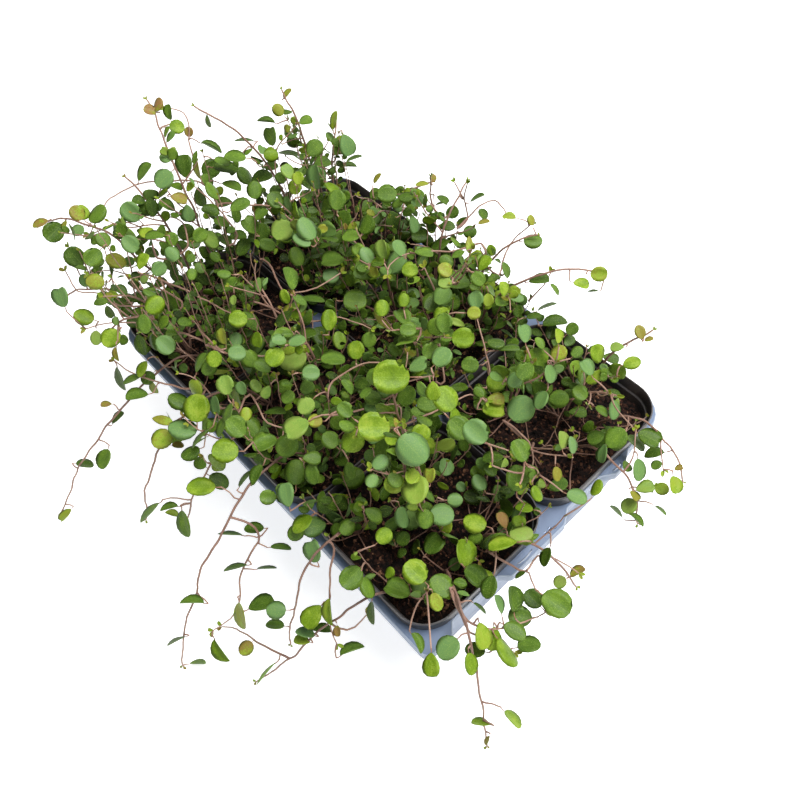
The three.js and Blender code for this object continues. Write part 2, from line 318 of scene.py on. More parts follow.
def open_group(name, kind, inputs, outputs):
    """A node group with named sockets, what its input node gives and its output node."""
    group = bpy.data.node_groups.new(name, kind)
    for label, socket, default in inputs:
        made = group.interface.new_socket(label, in_out="INPUT", socket_type=f"NodeSocket{socket}")
        if default is not None:
            made.default_value = default
    for label, socket in outputs:
        group.interface.new_socket(label, in_out="OUTPUT", socket_type=f"NodeSocket{socket}")
    return group, group.nodes.new("NodeGroupInput").outputs, group.nodes.new("NodeGroupOutput")


def named(tree, name, kind):
    node = add(tree, "GeometryNodeInputNamedAttribute", {"Name": name}, data_type=kind)
    return node.outputs["Attribute"]


def with_material(tree, geometry, material):
    inputs = {"Geometry": geometry, "Material": material}
    return add(tree, "GeometryNodeSetMaterial", inputs).outputs["Geometry"]


def joined(tree, *parts):
    """The parts as one real geometry."""
    node = add(tree, "GeometryNodeJoinGeometry")
    for part in parts:
        tree.links.new(part, node.inputs[0])
    return add(tree, "GeometryNodeRealizeInstances", {"Geometry": node.outputs[0]}).outputs[0]


def make_dust_group():
    """Potting dust that has settled in patches and specks. Mask is where it lies, Height how it stands up."""
    inputs = [
        ("Patch Size", "Float", 60.0),
        ("Speck Size", "Float", 1500.0),
        ("Amount", "Float", 0.5),
    ]
    outputs = [("Mask", "Float"), ("Height", "Float")]
    group, given, out = open_group("potting_dust", "ShaderNodeTree", inputs, outputs)
    patches = noise_mask(group, given["Patch Size"], 4.0, 0.6)
    specks = noise_mask(group, given["Speck Size"], 2.0, 0.7)
    film = spread(group, patches, 0.42, 0.72)
    grains = spread(group, specks, 0.6, 0.68)
    thin = maths(group, "MULTIPLY", film, 0.55)
    both = maths(group, "MAXIMUM", thin, maths(group, "MULTIPLY", grains, film))
    mask = maths(group, "MULTIPLY", both, given["Amount"], clamp=True)
    feed(group, out, {"Mask": mask, "Height": grains})
    return group


def make_grain_group():
    """The fine unevenness of a moulded or grown surface, from -0.5 to 0.5 round zero."""
    inputs = [("Grain Size", "Float", 900.0), ("Wave Size", "Float", 40.0)]
    outputs = [("Grain", "Float"), ("Wave", "Float")]
    group, given, out = open_group("surface_grain", "ShaderNodeTree", inputs, outputs)
    fine = noise_mask(group, given["Grain Size"], 3.0, 0.6)
    slow = noise_mask(group, given["Wave Size"], 2.0, 0.5)
    grain = maths(group, "SUBTRACT", fine, 0.5)
    feed(group, out, {"Grain": grain, "Wave": maths(group, "SUBTRACT", slow, 0.5)})
    return group


DUST = make_dust_group()
GRAIN = make_grain_group()


def grain_of(tree, grain_size, wave_size):
    """The surface grain with its own sizes: its fine grain and its slow wave."""
    inputs = {"Grain Size": grain_size, "Wave Size": wave_size}
    outputs = add(tree, "ShaderNodeGroup", inputs, node_tree=GRAIN).outputs
    return outputs["Grain"], outputs["Wave"]


def new_finish(name, values=None):
    """A material with nothing but its shader, whose named values are set, and its output."""
    finish = bpy.data.materials.new(name)
    finish.use_nodes = True
    tree = finish.node_tree
    shader = tree.nodes["Principled BSDF"]
    feed(tree, shader, values or {})
    return finish, tree, shader


def bump(tree, shader, height, distance, strength=1.0):
    """Relief whose height of one stands a distance in millimetres over the surface."""
    inputs = {"Height": height, "Distance": distance * MM, "Strength": strength}
    feed(tree, shader, {"Normal": add(tree, "ShaderNodeBump", inputs).outputs["Normal"]})


def leaf_finish():
    """A leaf from its UV map, whose U runs from stalk to tip and V across, and its own numbers."""
    finish, tree, shader = new_finish("wire_vine_leaf", {"Specular IOR Level": 0.2})
    place = add(tree, "ShaderNodeUVMap", uv_map="leaf_uv").outputs["UV"]
    parts = add(tree, "ShaderNodeSeparateXYZ", {"Vector": place}).outputs
    along = parts["X"]
    across = maths(tree, "MULTIPLY", maths(tree, "ABSOLUTE", maths(tree, "SUBTRACT", parts["Y"], 0.5)), 2.0)
    under = read(tree, "under")
    tint = read(tree, "tint")
    midrib = spread(tree, across, 0.0, 0.06, 1.0, 0.0)
    slant = maths(tree, "MULTIPLY", across, 0.4 * LEAF_VEINS)
    fan = maths(tree, "SUBTRACT", maths(tree, "MULTIPLY", along, LEAF_VEINS), slant)
    ridge = maths(tree, "PINGPONG", fan, 0.5)
    fading = spread(tree, across, 0.75, 1.0, 1.0, 0.0)
    veins = maths(tree, "MULTIPLY", spread(tree, ridge, 0.0, 0.09, 1.0, 0.0), fading)
    mottle = noise_mask(tree, LEAF_MOTTLE, 3.0, 0.6)
    cells = noise_mask(tree, LEAF_CELLS, 2.0, 0.6)
    dots = spread(tree, noise_mask(tree, LEAF_DOTS, 2.0, 0.6), 0.56, 0.68)

    shade = maths(tree, "ADD", tint, swing(tree, mottle, 0.55))
    shade = maths(tree, "ADD", shade, swing(tree, cells, 0.35))
    shade = maths(tree, "MINIMUM", shade, maths(tree, "MAXIMUM", tint, 0.86))
    colour = ramp(tree, shade, LEAF_TINTS)
    colour = mixed(tree, read(tree, "cool"), colour, paint(LEAF_COOL))
    margin = maths(tree, "POWER", read(tree, "rim"), 7.0)
    for mask, amount in ((veins, 0.05), (midrib, 0.1), (margin, 0.3), (dots, 0.36)):
        colour = painted(tree, colour, LEAF_MARGIN, mask, amount)
    colour = painted(tree, colour, LEAF_UNDERSIDE, under, 0.6)
    colour = mixed(tree, read(tree, "stalk"), colour, paint(LEAF_STALK))
    gloss = plus(tree, plus(tree, 0.3, mottle, 0.3), under, 0.2)
    feed(tree, shader, {"Base Color": colour, "Roughness": gloss})
    furrows = maths(tree, "MAXIMUM", midrib, veins)
    relief = maths(tree, "SUBTRACT", maths(tree, "MULTIPLY", cells, 0.35), furrows)
    bump(tree, shader, relief, 0.08, 0.5)
    return finish


def stem_finish():
    """A stem, green where its age is 0 and brown bark where it is 1."""
    finish, tree, shader = new_finish("wire_vine_stem")
    shade = maths(tree, "ADD", read(tree, "age"), swing(tree, noise_mask(tree, STEM_BLOTCHES, 3.0, 0.6), 0.7))
    grain, wave = grain_of(tree, 2200.0, 300.0)
    rough = plus(tree, 0.55, wave, 0.3)
    feed(tree, shader, {"Base Color": ramp(tree, shade, STEM_TINTS), "Roughness": rough})
    bump(tree, shader, grain, 0.25)
    return finish


def soil_finish():
    """Moist peat, with the tone of each strewn crumb added to that of its lumps."""
    finish, tree, shader = new_finish("potting_soil", {"Specular IOR Level": 0.15})
    where = object_coordinates(tree)
    lumps = noise_mask(tree, SOIL_LUMPS, 4.0, 0.65, where)
    crumbs = add(tree, "ShaderNodeTexVoronoi", {"Vector": where, "Scale": SOIL_CRUMBS}).outputs["Color"]
    tone = add(tree, "ShaderNodeSeparateColor", {"Color": crumbs}).outputs["Red"]
    shade = maths(tree, "SUBTRACT", plus(tree, maths(tree, "MULTIPLY", lumps, 0.9), tone, 0.4), 0.3)
    shade = maths(tree, "ADD", shade, read(tree, "crumb_tone"))
    rough = spread(tree, noise_mask(tree, SOIL_WET, 2.0, 0.5, where), 0.3, 0.7, 0.62, 0.95)
    feed(tree, shader, {"Base Color": ramp(tree, shade, SOIL_TINTS), "Roughness": rough})
    bump(tree, shader, maths(tree, "ADD", *grain_of(tree, 1300.0, 500.0)), 1.4)
    return finish


def plastic_finish(name, colour, edge, roughness, dust_amount, dust_patch):
    """Moulded plastic with faint flow marks, potting dust and, where the piece's edge mask is, a painted
    highlight.
    """
    finish, tree, shader = new_finish(name)
    grain, wave = grain_of(tree, 1600.0, 34.0)
    inputs = {"Patch Size": dust_patch, "Amount": dust_amount}
    dust = add(tree, "ShaderNodeGroup", inputs, node_tree=DUST).outputs
    darker = tuple(0.72 * value for value in paint(colour)[:3]) + (1.0,)
    body = mixed(tree, plus(tree, 0.5, wave, 0.6, clamp=True), darker, paint(colour))
    # A painted highlight along the rims and lip, as strong as each ring's edge mark
    body = painted(tree, body, edge, read(tree, "edge"), 0.55)
    body = mixed(tree, dust["Mask"], body, paint(DUST_COLOUR))
    rough = plus(tree, plus(tree, roughness, wave, 0.25), dust["Mask"], 0.5, clamp=True)
    feed(tree, shader, {"Base Color": body, "Roughness": rough})
    bump(tree, shader, plus(tree, dust["Height"], grain, 0.5), 0.06)
    return finish


LEAF_FINISH = leaf_finish()
STEM_FINISH = stem_finish()
SOIL_FINISH = soil_finish()
POT_FINISH = plastic_finish("black_pot_plastic", POT_COLOUR, POT_EDGE_HIGHLIGHT, 0.4, 0.6, 55.0)
TRAY_FINISH = plastic_finish("blue_grey_tray_plastic", TRAY_COLOUR, TRAY_EDGE_HIGHLIGHT, 0.42, 0.3, 38.0)
WATER_FINISH = new_finish("water_drop", {
    "Base Color": (1, 1, 1, 1),
    "Roughness": 0.02,
    "IOR": 1.33,
    "Transmission Weight": 1.0,
})[0]


# Mesh building


class Build:
    """Vertices and faces of one piece in millimetres, with a finish number for each face and named
    numbers for each vertex."""

    def __init__(self):
        self.points = []
        self.faces = []
        self.finishes = []
        self.marks = {}

    def face(self, corners, finish=0):
        self.faces.append(tuple(corners))
        self.finishes.append(finish)

    def add(self, spots, **marks):
        """Adds points with their marks and returns their numbers."""
        numbers = list(range(len(self.points), len(self.points) + len(spots)))
        self.points += spots
        for name, value in marks.items():
            self.marks.setdefault(name, {}).update({number: value for number in numbers})
        return numbers

    def ring(self, outline, z, **marks):
        return self.add([Vector((x, y, z)) for x, y in outline], **marks)

    def strip(self, lower, upper, finish=0):
        """Quads between two rings of the same length that run anticlockwise, the lower one outside."""
        count = len(lower)
        for i in range(count):
            j = (i + 1) % count
            self.face((lower[i], lower[j], upper[j], upper[i]), finish)

    def sleeve(self, rings, finish=0):
        """A closed wall through rings that ends where it starts."""
        for lower, upper in zip(rings, rings[1:] + rings[:1]):
            self.strip(lower, upper, finish)

    def plate(self, outline, holes, low, high, finish=0, **marks):
        """A flat plate with holes between two heights."""
        loops = [outline, *holes]
        flat = [[Vector((x, y, 0)) for x, y in loop] for loop in loops]
        triangles = tessellate_polygon(flat)
        below = [self.ring(loop, low, **marks) for loop in loops]
        above = [self.ring(loop, high, **marks) for loop in loops]
        every_below = [number for loop in below for number in loop]
        every_above = [number for loop in above for number in loop]
        spots = [point for loop in flat for point in loop]
        for triangle in triangles:
            a, b, c = (spots[i] for i in triangle)
            if (b - a).cross(c - a).z < 0:
                triangle = tuple(reversed(triangle))
            self.face([every_above[i] for i in triangle], finish)
            self.face([every_below[i] for i in reversed(triangle)], finish)
        self.strip(below[0], above[0], finish)
        for lower, upper in zip(below[1:], above[1:]):
            self.strip(upper, lower, finish)

    def mesh(self, name, finishes, smooth_below=SMOOTH_BELOW):
        mesh = bpy.data.meshes.new(name)
        mesh.from_pydata([point * MM for point in self.points], [], self.faces)
        for finish in finishes:
            mesh.materials.append(finish)
        mesh.polygons.foreach_set("material_index", self.finishes)
        for mark, values in self.marks.items():
            layer = mesh.attributes.new(mark, "FLOAT", "POINT")
            for number, value in values.items():
                layer.data[number].value = value
        mesh.shade_smooth()
        mesh.set_sharp_from_angle(angle=smooth_below)
        mesh.update()
        return mesh


def add_to_scene(name, data):
    made = bpy.data.objects.new(name, data)
    bpy.context.scene.collection.objects.link(made)
    return made


def piece(name, mesh, node):
    """A finished piece of the object in place of a node, riding on its one body."""
    made = add_to_scene(name, mesh)
    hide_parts(node)
    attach(made, "root")


def arc(x, y, radius, start, end, segments):
    """Points on an arc, its angles in degrees."""
    found = []
    for i in range(segments + 1):
        angle = math.radians(start + (end - start) * i / segments)
        found.append((x + radius * math.cos(angle), y + radius * math.sin(angle)))
    return found


def circle(x, y, radius, sides):
    return arc(x, y, radius, 0, 360 - 360 / sides, sides - 1)


def rounded_rectangle(length, width, corner, middle=(0, 0), segments=CORNER_SEGMENTS):
    """Anticlockwise from the corner at +X -Y."""
    x, y = length / 2 - corner, width / 2 - corner
    found = []
    for cx, cy, start in ((x, -y, -90), (x, y, 0), (-x, y, 90), (-x, -y, 180)):
        found += arc(middle[0] + cx, middle[1] + cy, corner, start, start + 90, segments)
    return found


def filleted(points, segments=FILLET_SEGMENTS):
    """An outline of (x, y, radius) with an arc in place of each corner."""
    found = []
    for i, (x, y, radius) in enumerate(points):
        here = Vector((x, y))
        before = Vector(points[i - 1][:2]) - here
        after = Vector(points[(i + 1) % len(points)][:2]) - here
        half = before.angle(after) / 2
        reach = min(radius / math.tan(half), 0.45 * before.length, 0.45 * after.length)
        radius = reach * math.tan(half)
        start = here + before.normalized() * reach
        middle = here + (before.normalized() + after.normalized()).normalized() * radius / math.sin(half)
        arm = start - middle
        turn = arm.angle_signed(here + after.normalized() * reach - middle)
        for step in range(segments + 1):
            angle = -turn * step / segments
            swung = Matrix.Rotation(angle, 2) @ arm
            found.append(tuple(middle + swung))
    return found


def inset(outline, amount):
    """An anticlockwise outline moved inwards by an amount."""
    found = []
    for i, spot in enumerate(outline):
        here = Vector(spot)
        before = (here - Vector(outline[i - 1])).normalized()
        after = (Vector(outline[(i + 1) % len(outline)]) - here).normalized()
        along = (before + after).normalized()
        inward = Vector((-along.y, along.x))
        found.append(tuple(here + inward * amount / max(0.5, along.dot(after))))
    return found


# Pots


def pot_width_at(height):
    return POT_FOOT + (POT_TOP - POT_FOOT) * height / (POT_HEIGHT - BAND)


def make_pot(number):
    """One nursery pot: a tapered wall that steps out into a rim band, and a floor with drain holes. Each
    row of its profile is a width, a corner's radius, a height over the foot and its painted edge highlight."""
    middle = MIDDLES[number]
    band_low = POT_HEIGHT - BAND
    step = band_low + LEDGE
    inside = 2 * POT_WALL
    build = Build()

    rings = []
    for width, corner, height, *edge in [
        (POT_FOOT - 2.4, POT_FOOT_CORNER - 1.2, 0),
        (POT_FOOT - 0.6, POT_FOOT_CORNER - 0.3, 0.4),
        (pot_width_at(1.3), POT_FOOT_CORNER, 1.3),
        (POT_TOP - 0.2, POT_TOP_CORNER, band_low - 0.3),
        (POT_TOP + 0.2, POT_TOP_CORNER, band_low),
        (RIM - 2 * BAND_FLARE - 0.5, RIM_CORNER, band_low),
        (RIM - 2 * BAND_FLARE, RIM_CORNER, band_low + 0.4, 0.6),
        (RIM - 0.1, RIM_CORNER, POT_HEIGHT - 2.0),
        (RIM, RIM_CORNER, POT_HEIGHT - RIM_ROUND, 1.0),
        (RIM - 0.5, RIM_CORNER - 0.2, POT_HEIGHT, 1.0),
        (RIM - inside + 0.4, RIM_CORNER - POT_WALL + 0.2, POT_HEIGHT, 1.0),
        (RIM - inside, RIM_CORNER - POT_WALL, POT_HEIGHT - RIM_ROUND, 0.8),
        (RIM - inside - 2 * BAND_FLARE, RIM_CORNER - POT_WALL, step + 0.5),
        (RIM - inside - 2 * BAND_FLARE - 0.8, RIM_CORNER - POT_WALL, step, 0.7),
        (POT_TOP - inside + 0.6, POT_TOP_CORNER - POT_WALL, step, 0.7),
        (POT_TOP - inside, POT_TOP_CORNER - POT_WALL, step - 0.4),
        (pot_width_at(POT_FLOOR) - inside, POT_FOOT_CORNER - POT_WALL, POT_FLOOR / 2),
        (POT_FOOT - 8, POT_FOOT_CORNER - 3, POT_FLOOR / 2),
        (POT_FOOT - 8, POT_FOOT_CORNER - 3, 0),
    ]:
        outline = rounded_rectangle(width, width, corner, middle)
        rings.append(build.ring(outline, POT_BASE + height, edge=edge[0] if edge else 0.0))
    build.sleeve(rings)
    floor = rounded_rectangle(POT_FOOT - 3, POT_FOOT - 3, POT_FOOT_CORNER - 1.5, middle)
    drains = []
    for x in (-POT_DRAIN_OFFSET, POT_DRAIN_OFFSET):
        for y in (-POT_DRAIN_OFFSET, POT_DRAIN_OFFSET):
            drains.append(circle(middle.x + x, middle.y + y, POT_DRAIN, 20))
    build.plate(floor, drains, POT_BASE + 0.15, POT_BASE + POT_FLOOR)
    mesh = build.mesh(f"nursery_pot_{number}", [POT_FINISH])
    piece(f"nursery_pot_{number}", mesh, f"pot_{number}")


# Tray


def tray_outline():
    """The tray's outline. Its far end is its near end turned half round."""
    near = [(HALF_LENGTH + out, y, radius) for out, y, radius in NEAR_END]
    far = [(-x, -y, radius) for x, y, radius in near]
    return filleted(near + far)


def tub_outline(length, width, corner, notch):
    """A rounded rectangle with a notch in its sides where two cells meet."""
    dips = [(NOTCH_HALF * share, notch * math.cos(math.pi / 2 * share) ** 1.6) for share in NOTCH_STATIONS]
    found = []
    for side, start in ((1, -90), (-1, 90)):
        x, y = side * length / 2, side * width / 2
        inward = side * corner
        found += arc(x - inward, inward - y, corner, start, start + 90, CORNER_SEGMENTS)
        found += [(x - side * dip, side * along) for along, dip in dips]
        found += arc(x - inward, y - inward, corner, start + 90, start + 180, CORNER_SEGMENTS)
        for meets in (side * PITCH / 2, -side * PITCH / 2):
            found += [(meets - side * along, y - side * dip) for along, dip in dips]
    return found


def grip_slot(x, y, length, width, bow):
    """A thin bowed slot along Y, anticlockwise."""
    count = 6
    turn = Matrix.Rotation(math.radians(90), 2)
    found = []
    for side in (-1, 1):
        for i in range(count + 1):
            share = (2 * i / count - 1) * -side
            half = width / 2 * (1 - 0.5 * abs(share) ** 4)
            spot = Vector((share * length / 2, side * half + bow * (1 - share * share)))
            found.append(tuple(turn @ spot + Vector((x, y))))
    return found[::-1]


def drain_circle(number, out=0):
    """The edge of the drain under a pot, or a circle that far outside it."""
    return circle(MIDDLES[number].x, MIDDLES[number].y, TRAY_DRAIN + out, DRAIN_SIDES)


def make_tray():
    """One moulded tray: deck, skirt, tub, cross walls and drains, with a few drops of water on its deck."""
    build = Build()
    outline = tray_outline()
    cells = [rounded_rectangle(CELL, CELL, CELL_CORNER, MIDDLES[n]) for n in POTS]
    slots = []
    for end in (1, -1):
        slots += [grip_slot(end * x, end * y, *size) for x, y, *size in GRIP_SLOTS]
    build.plate(inset(outline, 0.3), cells + slots, DECK_TOP - DECK, DECK_TOP)

    # The skirt hangs from the deck's edge and stands up over it in a low round lip
    # The third number of each ring is how strongly it shows the painted edge highlight
    profile = [
        (0.0, -SKIRT + 0.3, 0.5),
        (0.0, -0.5, 0.3),
        (0.12, LIP_HEIGHT - 0.22, 1.0),
        (0.4, LIP_HEIGHT, 1.0),
        (0.65, LIP_HEIGHT - 0.06, 1.0),
        (LIP_WIDTH, 0.01, 0.5),
        (LIP_WIDTH + 0.1, -0.4, 0.0),
        (SKIRT_WALL, -DECK, 0.0),
        (SKIRT_WALL, -SKIRT + 0.3, 0.0),
        (SKIRT_WALL / 2, -SKIRT, 0.3),
    ]
    rings = [build.ring(inset(outline, step), DECK_TOP + z, edge=edge) for step, z, edge in profile]
    build.sleeve(rings)

    # The tub tapers to its foot, its outer wall first and its inner wall after it
    top = DECK_TOP - DECK / 2
    length, width = 2 * HALF_LENGTH - 0.2, 2 * HALF_WIDTH - 0.2
    outer, inner = [], []
    for share, notch in TUB_LEVELS:
        taper = 2 * TUB_INSET * (1 - share) + (0.8 if share == 0 else 0)
        corner = TUB_FOOT_CORNER + (TUB_TOP_CORNER - TUB_FOOT_CORNER) * share
        depth = NOTCH_DEPTH * notch
        outer.append(build.ring(tub_outline(length - taper, width - taper, corner, depth), top * share))
        narrow = taper + 2 * SHEET
        inner.append(build.ring(tub_outline(length - narrow, width - narrow, corner - 1, depth), top * share))
    build.sleeve(outer + inner[::-1])
    foot = tub_outline(length - 2 * TUB_INSET - 1, width - 2 * TUB_INSET - 1, TUB_FOOT_CORNER, NOTCH_DEPTH)
    build.plate(foot, [drain_circle(n) for n in POTS], 0.05, SHEET)
    for n in POTS:
        build.sleeve([build.ring(drain_circle(n, out), z) for out, z in DRAIN_BEAD])

    def cross_wall(half, place):
        low, high = half - TUB_INSET - SHEET / 2 - NOTCH_DEPTH, half - SHEET / 2 - 1
        corners = [(-low, 0.4), (low, 0.4), (high, top), (-high, top)]
        numbers = [build.add([Vector((*place(along, side), z)) for along, z in corners])
                   for side in (-SHEET / 2, SHEET / 2)]
        build.face(numbers[0])
        build.face(numbers[1][::-1])
        for i in range(4):
            j = (i + 1) % 4
            build.face((numbers[0][j], numbers[0][i], numbers[1][i], numbers[1][j]))

    cross_wall(length / 2, lambda along, side: (along, side))
    for x in (-PITCH / 2, PITCH / 2):
        cross_wall(width / 2, lambda along, side: (x - side, along))

    for x, y, size in WATER_DROPS:
        rings = []
        for angle in (0, 25, 50, 72):
            radius = size * math.cos(math.radians(angle))
            height = WATER_FLATNESS * size * math.sin(math.radians(angle))
            rings.append(build.ring(circle(x, y, radius, WATER_SIDES), DECK_TOP + 0.02 + height))
        for lower, upper in zip(rings, rings[1:]):
            build.strip(lower, upper, 1)
        build.face(rings[-1], 1)
        build.face(rings[0][::-1], 1)
    mesh = build.mesh("moulded_carry_tray", [TRAY_FINISH, WATER_FINISH])
    piece("moulded_carry_tray", mesh, "carry_tray")


# Soil


# Rings of points on a soil block's top, and the segments of each ring's round corners
SOIL_RINGS = 42
SOIL_AROUND = 17
SOIL_LEVEL = SOIL_TOP - 1.2
SOIL_SMOOTH_BELOW = math.radians(60)
# The loose bits strewn on a soil block: how many on a square metre, the least and greatest share of
# their size and of the added tone, and how far they tilt
CRUMB_DENSITY = 210000.0
CRUMB_LOOKS = (0.35, 1.3, -0.25, 0.5, math.pi)
CRUMB_REACH = 1.1
FIBRE_DENSITY = 9000.0
FIBRE_LOOKS = (0.5, 1.4, 0.1, 0.6, 0.35)
FIBRE_SEED = 50
FIBRE_LENGTH = 9
FIBRE_RADIUS = 0.2
THREE_SIDES = [2 * math.pi * k / 3 for k in range(3)]


def soil_height(x, y, share):
    """Height of the soil over its level at a spot, which sinks a little towards the pot's wall."""
    spot = Vector((x, y, 0))
    swell = 1.5 * noise.noise(spot / 17) + 1.1 * noise.noise(spot / 6 + Vector((3, 8, 1)))
    near = noise.voronoi(spot / 3.1)[0]
    lump = 1.3 * (0.55 - near[0]) + 0.6 * noise.noise(spot / 1.3)
    sink = 1.9 * max(0.0, share - 0.72) / 0.28
    return swell + lump - sink - 0.4


def grow_soil_tree():
    """Crumbs and fibres strewn over a soil block's top."""
    inputs = [
        ("Soil", "Geometry", None),
        ("Crumb", "Object", None),
        ("Fibre", "Object", None),
        ("Crumbs", "Float", CRUMB_DENSITY),
        ("Fibres", "Float", FIBRE_DENSITY),
        ("Seed", "Int", 0),
        ("Finish", "Material", None),
    ]
    tree, given, out = open_group("strewn_soil", "GeometryNodeTree", inputs, [("Soil", "Geometry")])
    inputs = {"A": named(tree, "top", "FLOAT"), "B": 0.5}
    chosen = add(tree, "FunctionNodeCompare", inputs, operation="GREATER_THAN").outputs["Result"]

    def chance(kind, low, high, seed):
        suffix = "_001" if kind == "FLOAT" else ""
        inputs = {f"Min{suffix}": low, f"Max{suffix}": high, "Seed": seed}
        node = add(tree, "FunctionNodeRandomValue", inputs, data_type=kind)
        return outcome(node, f"Value{suffix}")

    def strewn(thing, density, seed, low, high, tone_low, tone_high, tilt):
        sown = add(tree, "GeometryNodeDistributePointsOnFaces", {
            "Mesh": given["Soil"],
            "Selection": chosen,
            "Density": density,
            "Seed": maths(tree, "ADD", given["Seed"], seed),
        })
        turn = chance("FLOAT_VECTOR", (-tilt, -tilt, 0.0), (tilt, tilt, 2 * math.pi), seed + 2)
        placed = add(tree, "GeometryNodeInstanceOnPoints", {
            "Points": sown.outputs["Points"],
            "Instance": add(tree, "GeometryNodeObjectInfo", {"Object": thing}).outputs["Geometry"],
            "Rotation": add(tree, "FunctionNodeEulerToRotation", {"Euler": turn}).outputs[0],
            "Scale": chance("FLOAT", low, high, seed + 1),
        }).outputs["Instances"]
        return add(tree, "GeometryNodeStoreNamedAttribute", {
            "Geometry": placed,
            "Name": "crumb_tone",
            "Value": chance("FLOAT", tone_low, tone_high, seed + 3),
        }, data_type="FLOAT", domain="INSTANCE").outputs["Geometry"]

    crumbs = strewn(given["Crumb"], given["Crumbs"], 0, *CRUMB_LOOKS)
    fibres = strewn(given["Fibre"], given["Fibres"], FIBRE_SEED, *FIBRE_LOOKS)
    real = joined(tree, given["Soil"], crumbs, fibres)
    feed(tree, out, {"Soil": with_material(tree, real, given["Finish"])})
    return tree


def crumb_shape():
    """A lump of peat two millimetres across, with its twelve points pushed about."""
    golden = (1 + math.sqrt(5)) / 2
    points = []
    for a, b in ((-1, golden), (1, golden), (-1, -golden), (1, -golden)):
        points += [Vector((a, b, 0)), Vector((0, a, b)), Vector((b, 0, a))]
    dice = random.Random(5)
    points = [p.normalized() * dice.uniform(0.65, 1.2) for p in points]
    faces = []
    for i in range(12):
        for j in range(i + 1, 12):
            for k in range(j + 1, 12):
                a, b, c = (points[n].normalized() for n in (i, j, k))
                if max((a - b).length, (b - c).length, (c - a).length) < CRUMB_REACH:
                    outward = (b - a).cross(c - a).dot(a) > 0
                    faces.append((i, j, k) if outward else (i, k, j))
    mesh = bpy.data.meshes.new("peat_crumb")
    mesh.from_pydata([p * MM for p in points], [], faces)
    return bpy.data.objects.new("peat_crumb", mesh)


def fibre_shape():
    """A bent peat fibre nine millimetres long, three-sided and closed."""
    build = Build()
    rings = []
    for i in range(6):
        share = i / 5 - 0.5
        bow, twist = 2.2 * math.cos(3.5 * share), 0.5 * math.sin(7 * share)
        middle = Vector((FIBRE_LENGTH * share, bow, twist + 0.25))
        radius = FIBRE_RADIUS * (1 - 1.2 * abs(share))
        spots = [middle + radius * Vector((0, math.cos(angle), math.sin(angle))) for angle in THREE_SIDES]
        rings.append(build.add(spots))
    for lower, upper in zip(rings, rings[1:]):
        build.strip(lower, upper)
    build.face(rings[0][::-1])
    build.face(rings[-1])
    return bpy.data.objects.new("peat_fibre", build.mesh("peat_fibre", []))


def set_inputs(modifier, values):
    """Sets a modifier's inputs by the identifiers of their sockets."""
    for item in modifier.node_group.interface.items_tree:
        if item.item_type == "SOCKET" and item.in_out == "INPUT" and item.name in values:
            modifier[item.identifier] = values[item.name]


def grown(seedling, tree, values, name):
    """The plain mesh that a node tree makes of a seedling, a mesh that is then done with."""
    base = add_to_scene(seedling.name, seedling)
    modifier = base.modifiers.new(tree.name, "NODES")
    modifier.node_group = tree
    set_inputs(modifier, values)
    graph = bpy.context.evaluated_depsgraph_get()
    graph.update()
    ready = base.evaluated_get(graph)
    mesh = bpy.data.meshes.new_from_object(ready, preserve_all_data_layers=True, depsgraph=graph)
    base.modifiers.remove(modifier)
    bpy.data.objects.remove(base)
    mesh.name = name
    return mesh


def make_soil(number, tree, crumb, fibre):
    """One soil block: a plain tapered body, an uneven top of rings and the crumbs strewn on it."""
    middle = MIDDLES[number]
    low, high = corners_of(f"soil_{number}")
    build = Build()
    half_top = (high.x - low.x) / 2 - 0.1
    corner = POT_TOP_CORNER - POT_WALL

    def square(half, round_corner, height):
        outline = rounded_rectangle(2 * half, 2 * half, round_corner, middle, SOIL_AROUND)
        return build.ring(outline, height, top=0.0)

    def top_spot(x, y, share):
        return Vector((x, y, SOIL_LEVEL + soil_height(x, y, share)))

    foot_half = pot_width_at(POT_FLOOR) / 2 - POT_WALL - 0.3
    bottom = square(foot_half, POT_FOOT_CORNER - POT_WALL, low.z)
    last = square(half_top, corner, SOIL_TOP - 4)
    build.face(bottom[::-1])
    build.strip(bottom, last)
    outline = rounded_rectangle(2 * half_top, 2 * half_top, corner, (0, 0), SOIL_AROUND)
    for ring in range(SOIL_RINGS):
        share = 1 - ring / SOIL_RINGS
        spots = [top_spot(middle.x + x * share, middle.y + y * share, share) for x, y in outline]
        numbers = build.add(spots, top=1.0 if ring > 2 else 0.0)
        build.strip(last, numbers)
        last = numbers
    centre = build.add([top_spot(middle.x, middle.y, 0)], top=1.0)[0]
    for i, a in enumerate(last):
        build.face((a, last[(i + 1) % len(last)], centre))
    mesh = build.mesh("soil_block", [], SOIL_SMOOTH_BELOW)
    values = {"Crumb": crumb, "Fibre": fibre, "Seed": number, "Finish": SOIL_FINISH}
    made = grown(mesh, tree, values, f"potting_soil_{number}")
    piece(f"potting_soil_{number}", made, f"soil_{number}")


# Leaves


STATIONS = 6
ACROSS = (-1.0, -0.55, 0.0, 0.55, 1.0)
LEAF_THICKNESS = 0.03

# A leaf's stalk: where along it each ring lies beyond the share of its length, its radius and its height
STALK_RINGS = ((0.0, -0.02, 0.036, -0.004), (0.55, 0.0, 0.026, -0.03), (1.0, 0.07, 0.02, -0.012))

